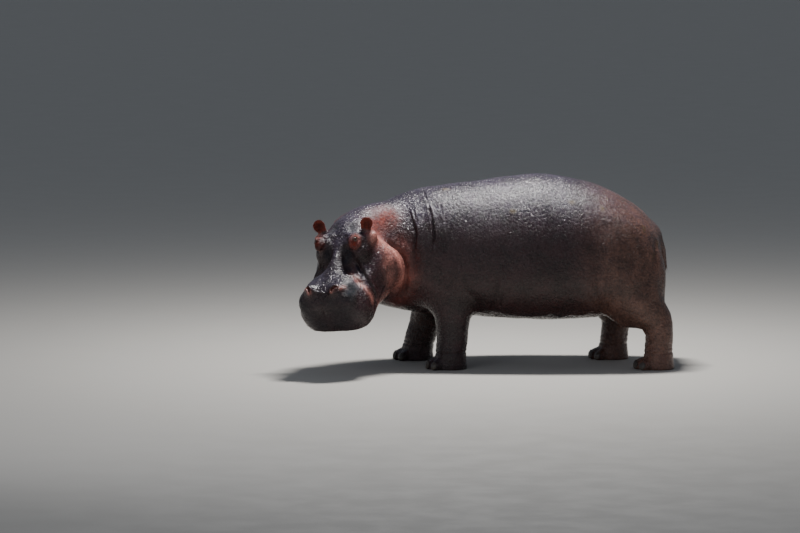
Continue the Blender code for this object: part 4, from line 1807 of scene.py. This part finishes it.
class Region(Enum):
    """Where a patch of hair grows, with a method for each that picks its vertices and the coat's lie."""

    UPPER_LIP = "upper_lip"
    MUZZLE_BANDS = "muzzle_bands"
    CHIN = "chin"
    EAR_RIMS = "ear_rims"
    TAIL_END = "tail_end"

    def places(self, skin: Surface) -> Chosen:
        """Where the hairs grow.

        Args:
            skin: the skin.

        Returns:
            The numbers of the vertices that may carry one, and the way the coat lies at every vertex.
        """
        picks = {
            Region.UPPER_LIP: self.upper_lip, Region.MUZZLE_BANDS: self.muzzle_bands,
            Region.CHIN: self.chin, Region.EAR_RIMS: self.ear_rims, Region.TAIL_END: self.tail_end,
        }
        chosen, lie = picks[self](skin)
        return np.nonzero(chosen)[0], np.broadcast_to(lie, skin.points.shape)

    def upper_lip(self, skin: Surface) -> Chosen:
        """Both sides of the upper lip, where the whiskers point down and forward.

        Args:
            skin: the skin.

        Returns:
            Which vertices may carry one, and the way the coat lies.
        """
        local = on_left(skin.local())
        sides = np.all((local > (0.30, 0.03, -0.35)) & (local < (0.62, 0.32, -0.05)), axis=1)
        return sides, HEAD_TURN @ np.array([0.25, 0.0, -0.97])

    def muzzle_bands(self, skin: Surface) -> Chosen:
        """The pink bands beside the muzzle and the cheeks."""
        band = Markings().strongest(Markings().pinks()[1:4], skin.local())
        return band > 0.25, HEAD_TURN @ np.array([0.1, 0.0, -0.99])

    def chin(self, skin: Surface) -> Chosen:
        """The front of the lower jaw, where the bristles hang.

        Args:
            skin: the skin.

        Returns:
            Which vertices may carry one, and the way the coat lies.
        """
        local = skin.local()
        ahead = skin.facing @ HEAD_TURN @ np.array([0.8, 0.0, -0.2]) > 0.1
        jaw = inside_box(skin.points, "lower_jaw", 0.02) & (local[:, 0] > 0.30) & (local[:, 2] < -0.40)
        return jaw & ahead, HEAD_TURN @ np.array([0.0, 0.0, -1.0])

    def ear_rims(self, skin: Surface) -> Chosen:
        """The edges of both ears, where the hairs lie outwards.

        Args:
            skin: the skin.

        Returns:
            Which vertices may carry one, and the way the coat lies at each vertex.
        """
        chosen, lie = np.zeros(len(skin.points), dtype=bool), np.zeros(skin.points.shape)
        for ear in (EarCup(side) for side in Side):
            ear.measure(skin.points, skin.facing)
            rim = (ear.ring > 0.86) & (ear_share(skin.points)[ear.chosen] > 0.9)
            chosen[ear.chosen[rim]] = True
            outward = (ear.across @ ear.flat.T) / np.maximum(ear.away, 0.001)[:, None]
            lie[ear.chosen] = outward + ear.front * 0.25
        return chosen, lie

    def tail_end(self, skin: Surface) -> Chosen:
        """The last stretch of the tail."""
        last = skin.points[:, 2] < box_of("tail")[0][2] + 0.11
        return inside_box(skin.points, "tail", 0.01) & last, np.array([0.10, 0.0, -0.99])


@dataclass(frozen=True)
class Growth:
    """One patch of stiff hair.

    Args:
        name: the piece's name.
        region: where the hairs grow.
        count: how many hairs.
        length: the shortest and the longest.
        thick: the radius at the root.
        lean: how far they lie over instead of standing up, 0 to 1.
        dark: 1 for black hair and 0 for pale.
    """

    name: str
    region: Region
    count: int
    length: tuple[float, float]
    thick: float
    lean: float
    dark: float


@dataclass
class Bristles:
    """The scant hair: whiskers, stubble, chin bristles, the ears' fringe and the end of the tail."""

    skin: bpy.types.Object
    growths: tuple[Growth, ...] = (
        Growth("whiskers", Region.UPPER_LIP, 520, (0.006, 0.014), 0.0007, 0.45, 0.25),
        Growth("muzzle_stubble", Region.MUZZLE_BANDS, 620, (0.003, 0.007), 0.0006, 0.55, 0.0),
        Growth("chin_bristles", Region.CHIN, 160, (0.006, 0.013), 0.0006, 0.35, 0.35),
        Growth("ear_fringe", Region.EAR_RIMS, 260, (0.006, 0.014), 0.0005, 0.75, 0.45),
        Growth("tail_bristles", Region.TAIL_END, 240, (0.030, 0.055), 0.0008, 0.88, 1.0),
    )
    rings: int = 4
    patch: float = 0.003
    sunk: float = 0.001
    unwrapped: int = 14000
    seed: int = 11

    def unwrap(self) -> tuple[BVHTree, Points, Points]:
        """Unwraps a lighter copy of the skin, by its own shape.

        Returns:
            A search tree of the copy's triangles, their corners and the corners' places on the unwrap.
        """
        take(self.skin)
        bpy.ops.object.duplicate()
        copy = bpy.context.object
        applied(copy, "DECIMATE", ratio=self.unwrapped / len(copy.data.polygons))
        take(copy)
        bpy.ops.object.mode_set(mode="EDIT")
        bpy.ops.mesh.select_all(action="SELECT")
        bpy.ops.uv.smart_project(angle_limit=math.radians(66), island_margin=0.004)
        bpy.ops.object.mode_set(mode="OBJECT")
        corners = corners_of(copy)
        flat = np.empty(corners.size * 2, dtype=np.float32)
        copy.data.uv_layers.active.data.foreach_get("uv", flat)
        tree = BVHTree.FromPolygons(places(copy).tolist(), corners.tolist())
        solid = places(copy)[corners]
        bpy.data.objects.remove(copy)
        return tree, solid, flat.reshape(-1, 3, 2).astype(float)

    def build(self) -> list[bpy.types.Object]:
        """Grows every patch.

        Returns:
            The finished pieces.
        """
        tree, solid, flat = self.unwrap()
        skin = Surface(places(self.skin), normals(self.skin))
        marks = Markings().of(skin.points, skin.facing)
        finish = BristleFinish().material()
        made = []
        for order, growth in enumerate(self.growths):
            chance = np.random.default_rng(self.seed + order)
            where, lie = growth.region.places(skin)
            roots = np.sort(chance.choice(where, min(growth.count, len(where)), replace=False))
            spots = np.array([self.spot(tree, solid, flat, skin.points[root]) for root in roots])
            made.append(self.grow(growth, skin.points[roots], skin.facing[roots], lie[roots], spots,
                                  {name: mark[roots] for name, mark in marks.items()}, chance))
            made[-1].data.materials.append(finish)
        LOG.info("bristles: %d pieces, %d triangles", len(made), sum(len(obj.data.polygons) for obj in made))
        return made

    def spot(self, tree: BVHTree, solid: Points, flat: Points, root: Points) -> tuple[float, float]:
        """A root's place on the unwrap.

        Args:
            tree: the search tree of the unwrapped copy.
            solid: its triangles' corners.
            flat: the corners' places on the unwrap.
            root: the root, in the world.

        Returns:
            The place on the unwrap.
        """
        near, _, index, _ = tree.find_nearest(Vector(root))
        a, b, c = (Vector(corner) for corner in solid[index])
        u, v, w = (Vector((*corner, 0.0)) for corner in flat[index])
        at = barycentric_transform(near, a, b, c, u, v, w)
        return at.x, at.y

    def grow(self, growth: Growth, roots: Points, facing: Points, lie: Points, spots: Points,
             marks: dict[str, Points], chance: np.random.Generator) -> bpy.types.Object:
        """Makes one patch as a joined mesh of tapered, slightly bent hairs.

        Args:
            growth: the patch.
            roots: where each hair grows.
            facing: which way the skin faces there.
            lie: the way the coat lies there.
            spots: the roots' places on the unwrap.
            marks: the skin's markings at the roots.
            chance: the source of variety.

        Returns:
            The finished piece.
        """
        count = len(roots)
        along = facing * (1 - growth.lean) + lie * growth.lean + chance.normal(0, 0.16, (count, 3))
        along /= np.linalg.norm(along, axis=1)[:, None]
        length = chance.uniform(*growth.length, count)
        across = np.cross(along, chance.normal(0, 1, (count, 3)))
        across /= np.linalg.norm(across, axis=1)[:, None]
        other = np.cross(along, across)
        bend = lie * 0.22 + chance.normal(0, 0.10, (count, 3))
        rows, shares = [], []
        for ring in range(self.rings):
            share = ring / self.rings
            centre = roots - facing * self.sunk + (along * share + bend * share**2) * length[:, None]
            radius = growth.thick * (1 - 0.75 * share)
            for corner in range(3):
                turn = corner * 2 * math.pi / 3
                rows.append(centre + (across * math.cos(turn) + other * math.sin(turn)) * radius)
                shares.append(share)
        rows.append(roots - facing * self.sunk + (along + bend) * length[:, None])
        shares.append(1.0)
        each = len(rows)
        points = np.stack(rows, axis=1).reshape(-1, 3)
        faces = [(0, 2, 1)]
        for ring in range(self.rings - 1):
            for corner in range(3):
                a, b = ring * 3 + corner, ring * 3 + (corner + 1) % 3
                faces += [(a, b, b + 3), (a, b + 3, a + 3)]
        last = (self.rings - 1) * 3
        faces += [(last + corner, last + (corner + 1) % 3, each - 1) for corner in range(3)]
        faces = (np.array(faces)[None] + np.arange(count)[:, None, None] * each).reshape(-1, 3)
        mesh = bpy.data.meshes.new(growth.name)
        mesh.from_pydata(points.tolist(), [], faces.tolist())
        piece = bpy.data.objects.new(growth.name, mesh)
        bpy.context.collection.objects.link(piece)
        local = np.stack([np.array([math.cos(k * 2.1), math.sin(k * 2.1)]) * 0.5 for k in range(each)])
        spread = spots[:, None] + local[None] * self.patch * np.array(shares)[None, :, None]
        layer = mesh.uv_layers.new(name="OFBake")
        layer.data.foreach_set("uv", spread.reshape(-1, 2)[faces.ravel()].astype(np.float32).ravel())
        for name, value in marks.items():
            put_mark(piece, name, np.repeat(value, each))
        put_mark(piece, "toward_tip", np.tile(np.array(shares), count))
        put_mark(piece, "darkness", np.full(count * each, growth.dark))
        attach(piece, "root")
        return piece


@dataclass
class Nails:
    """The sixteen blunt nails, four on each foot."""

    grain: float = 0.0028
    pieces: list[bpy.types.Object] = field(default_factory=list)

    def build(self, finish: bpy.types.Material) -> list[bpy.types.Object]:
        """Rounds each nail of the solids off into worn horn.

        Args:
            finish: the nails' material.

        Returns:
            The finished nails.
        """
        for node in sorted(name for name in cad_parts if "nail" in name):
            nail = merged_copy(node)
            nail.name = nail.data.name = f"worn_{node}"
            applied(nail, "REMESH", mode="VOXEL", voxel_size=self.grain)
            applied(nail, "SMOOTH", factor=0.5, iterations=8)
            applied(nail, "DISPLACE", strength=0.0006, mid_level=0.0)
            bpy.ops.object.shade_smooth()
            nail.data.materials.append(finish)
            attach(nail, "root")
            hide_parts(node)
            self.pieces.append(nail)
        LOG.info("nails: %d", len(self.pieces))
        return self.pieces


# ---- the studio ----------------------------------------------------------------------------------
@dataclass(frozen=True)
class Lamp:
    """One soft box that faces the model.

    Args:
        name: the lamp's name.
        at: its place from the middle of the model's floor.
        size: its width and height.
        power: its strength in watts.
        colour: its colour.
        aim: the height above the floor that it faces.
    """

    name: str
    at: tuple[float, float, float]
    size: tuple[float, float]
    power: float
    colour: Colour
    aim: float = 0.7

    def hang(self, middle: Vector) -> None:
        """Hangs the lamp over the middle of the model's floor.

        Args:
            middle: that point.
        """
        place = middle + Vector(self.at)
        bpy.ops.object.light_add(type="AREA", location=place)
        lamp = bpy.context.object
        lamp.name = self.name
        lamp.data.shape = "RECTANGLE"
        lamp.data.size, lamp.data.size_y = self.size
        lamp.data.energy = self.power
        lamp.data.color = self.colour
        aim = middle + Vector((0, 0, self.aim)) - place
        lamp.rotation_euler = aim.to_track_quat("-Z", "Y").to_euler()


@dataclass(frozen=True)
class Studio:
    """A plain pale floor, soft light and the camera."""

    elevation: float = 6.0
    distance: float = 40.0
    seen_width: float = 6.153846
    from_brow: tuple[float, float, float] = (0.467, 0.650, -0.2584)
    floor_radius: float = 90.0
    sensor: float = 36.0
    farthest: float = 400.0
    sky: Colour = (0.80, 0.88, 1.0)
    sky_strength: float = 0.21
    lamps: tuple[Lamp, ...] = (
        Lamp("overhead_box", (0.1, 0.75, 5.4), (1.2, 0.60), 540, (1.0, 0.98, 0.95)),
        Lamp("front_box", (-3.5, -5.5, 3.4), (3.0, 2.2), 45, (0.95, 0.96, 1.0)),
    )

    def build(self) -> None:
        """Lays the floor, hangs the lights and sets the camera up."""
        self.floor()
        self.lights()
        self.camera()

    def middle(self) -> Vector:
        """The point on the floor under the middle of the model."""
        low, high = (Vector(corner) for corner in CAD_BOX)
        return Vector(((low.x + high.x) / 2, (low.y + high.y) / 2, low.z))

    def floor(self) -> None:
        """Lays the floor at the level of the soles."""
        bpy.ops.object.select_all(action="DESELECT")
        bpy.ops.mesh.primitive_circle_add(vertices=96, radius=self.floor_radius, fill_type="NGON",
                                          location=self.middle())
        floor = bpy.context.object
        floor.name = floor.data.name = "studio_floor"
        bpy.ops.object.transform_apply(location=True, rotation=True, scale=True)
        floor.data.materials.append(FloorFinish().material())

    def lights(self) -> None:
        """Hangs a strong soft box overhead and a weak one in front, under a pale sky."""
        for lamp in self.lamps:
            lamp.hang(self.middle())
        world = bpy.data.worlds.new("studio_sky")
        bpy.context.scene.world = world
        world.use_nodes = True
        background = world.node_tree.nodes["Background"]
        background.inputs["Color"].default_value = (*self.sky, 1.0)
        background.inputs["Strength"].default_value = self.sky_strength

    def camera(self) -> None:
        """Sets up a long lens a little above the floor, square to the flank."""
        lift = math.radians(self.elevation)
        target = HEAD_MATRIX.translation + Vector(self.from_brow)
        back = Vector((0, -math.cos(lift), math.sin(lift)))
        bpy.ops.object.camera_add(location=target + back * self.distance)
        camera = bpy.context.object
        camera.name = "studio_camera"
        camera.rotation_euler = (-back).to_track_quat("-Z", "Y").to_euler()
        camera.data.sensor_width = self.sensor
        camera.data.lens = self.sensor * self.distance / self.seen_width
        camera.data.clip_end = self.farthest
        bpy.context.scene.camera = camera


def main() -> None:
    """Builds the eyes, nails, skin, bristles and studio in order, and logs each but the studio."""
    logging.basicConfig(level=logging.INFO, format="%(name)s: %(message)s")
    eye_finish = EyeFinish().material()
    for side in Side:
        LOG.info("eye: %s", Eye(side).build(eye_finish).name)
    Nails().build(NailFinish().material())
    hide = Hide()
    hide.build()
    Bristles(hide.piece).build()
    Studio().build()


if __name__ == "__main__":
    main()
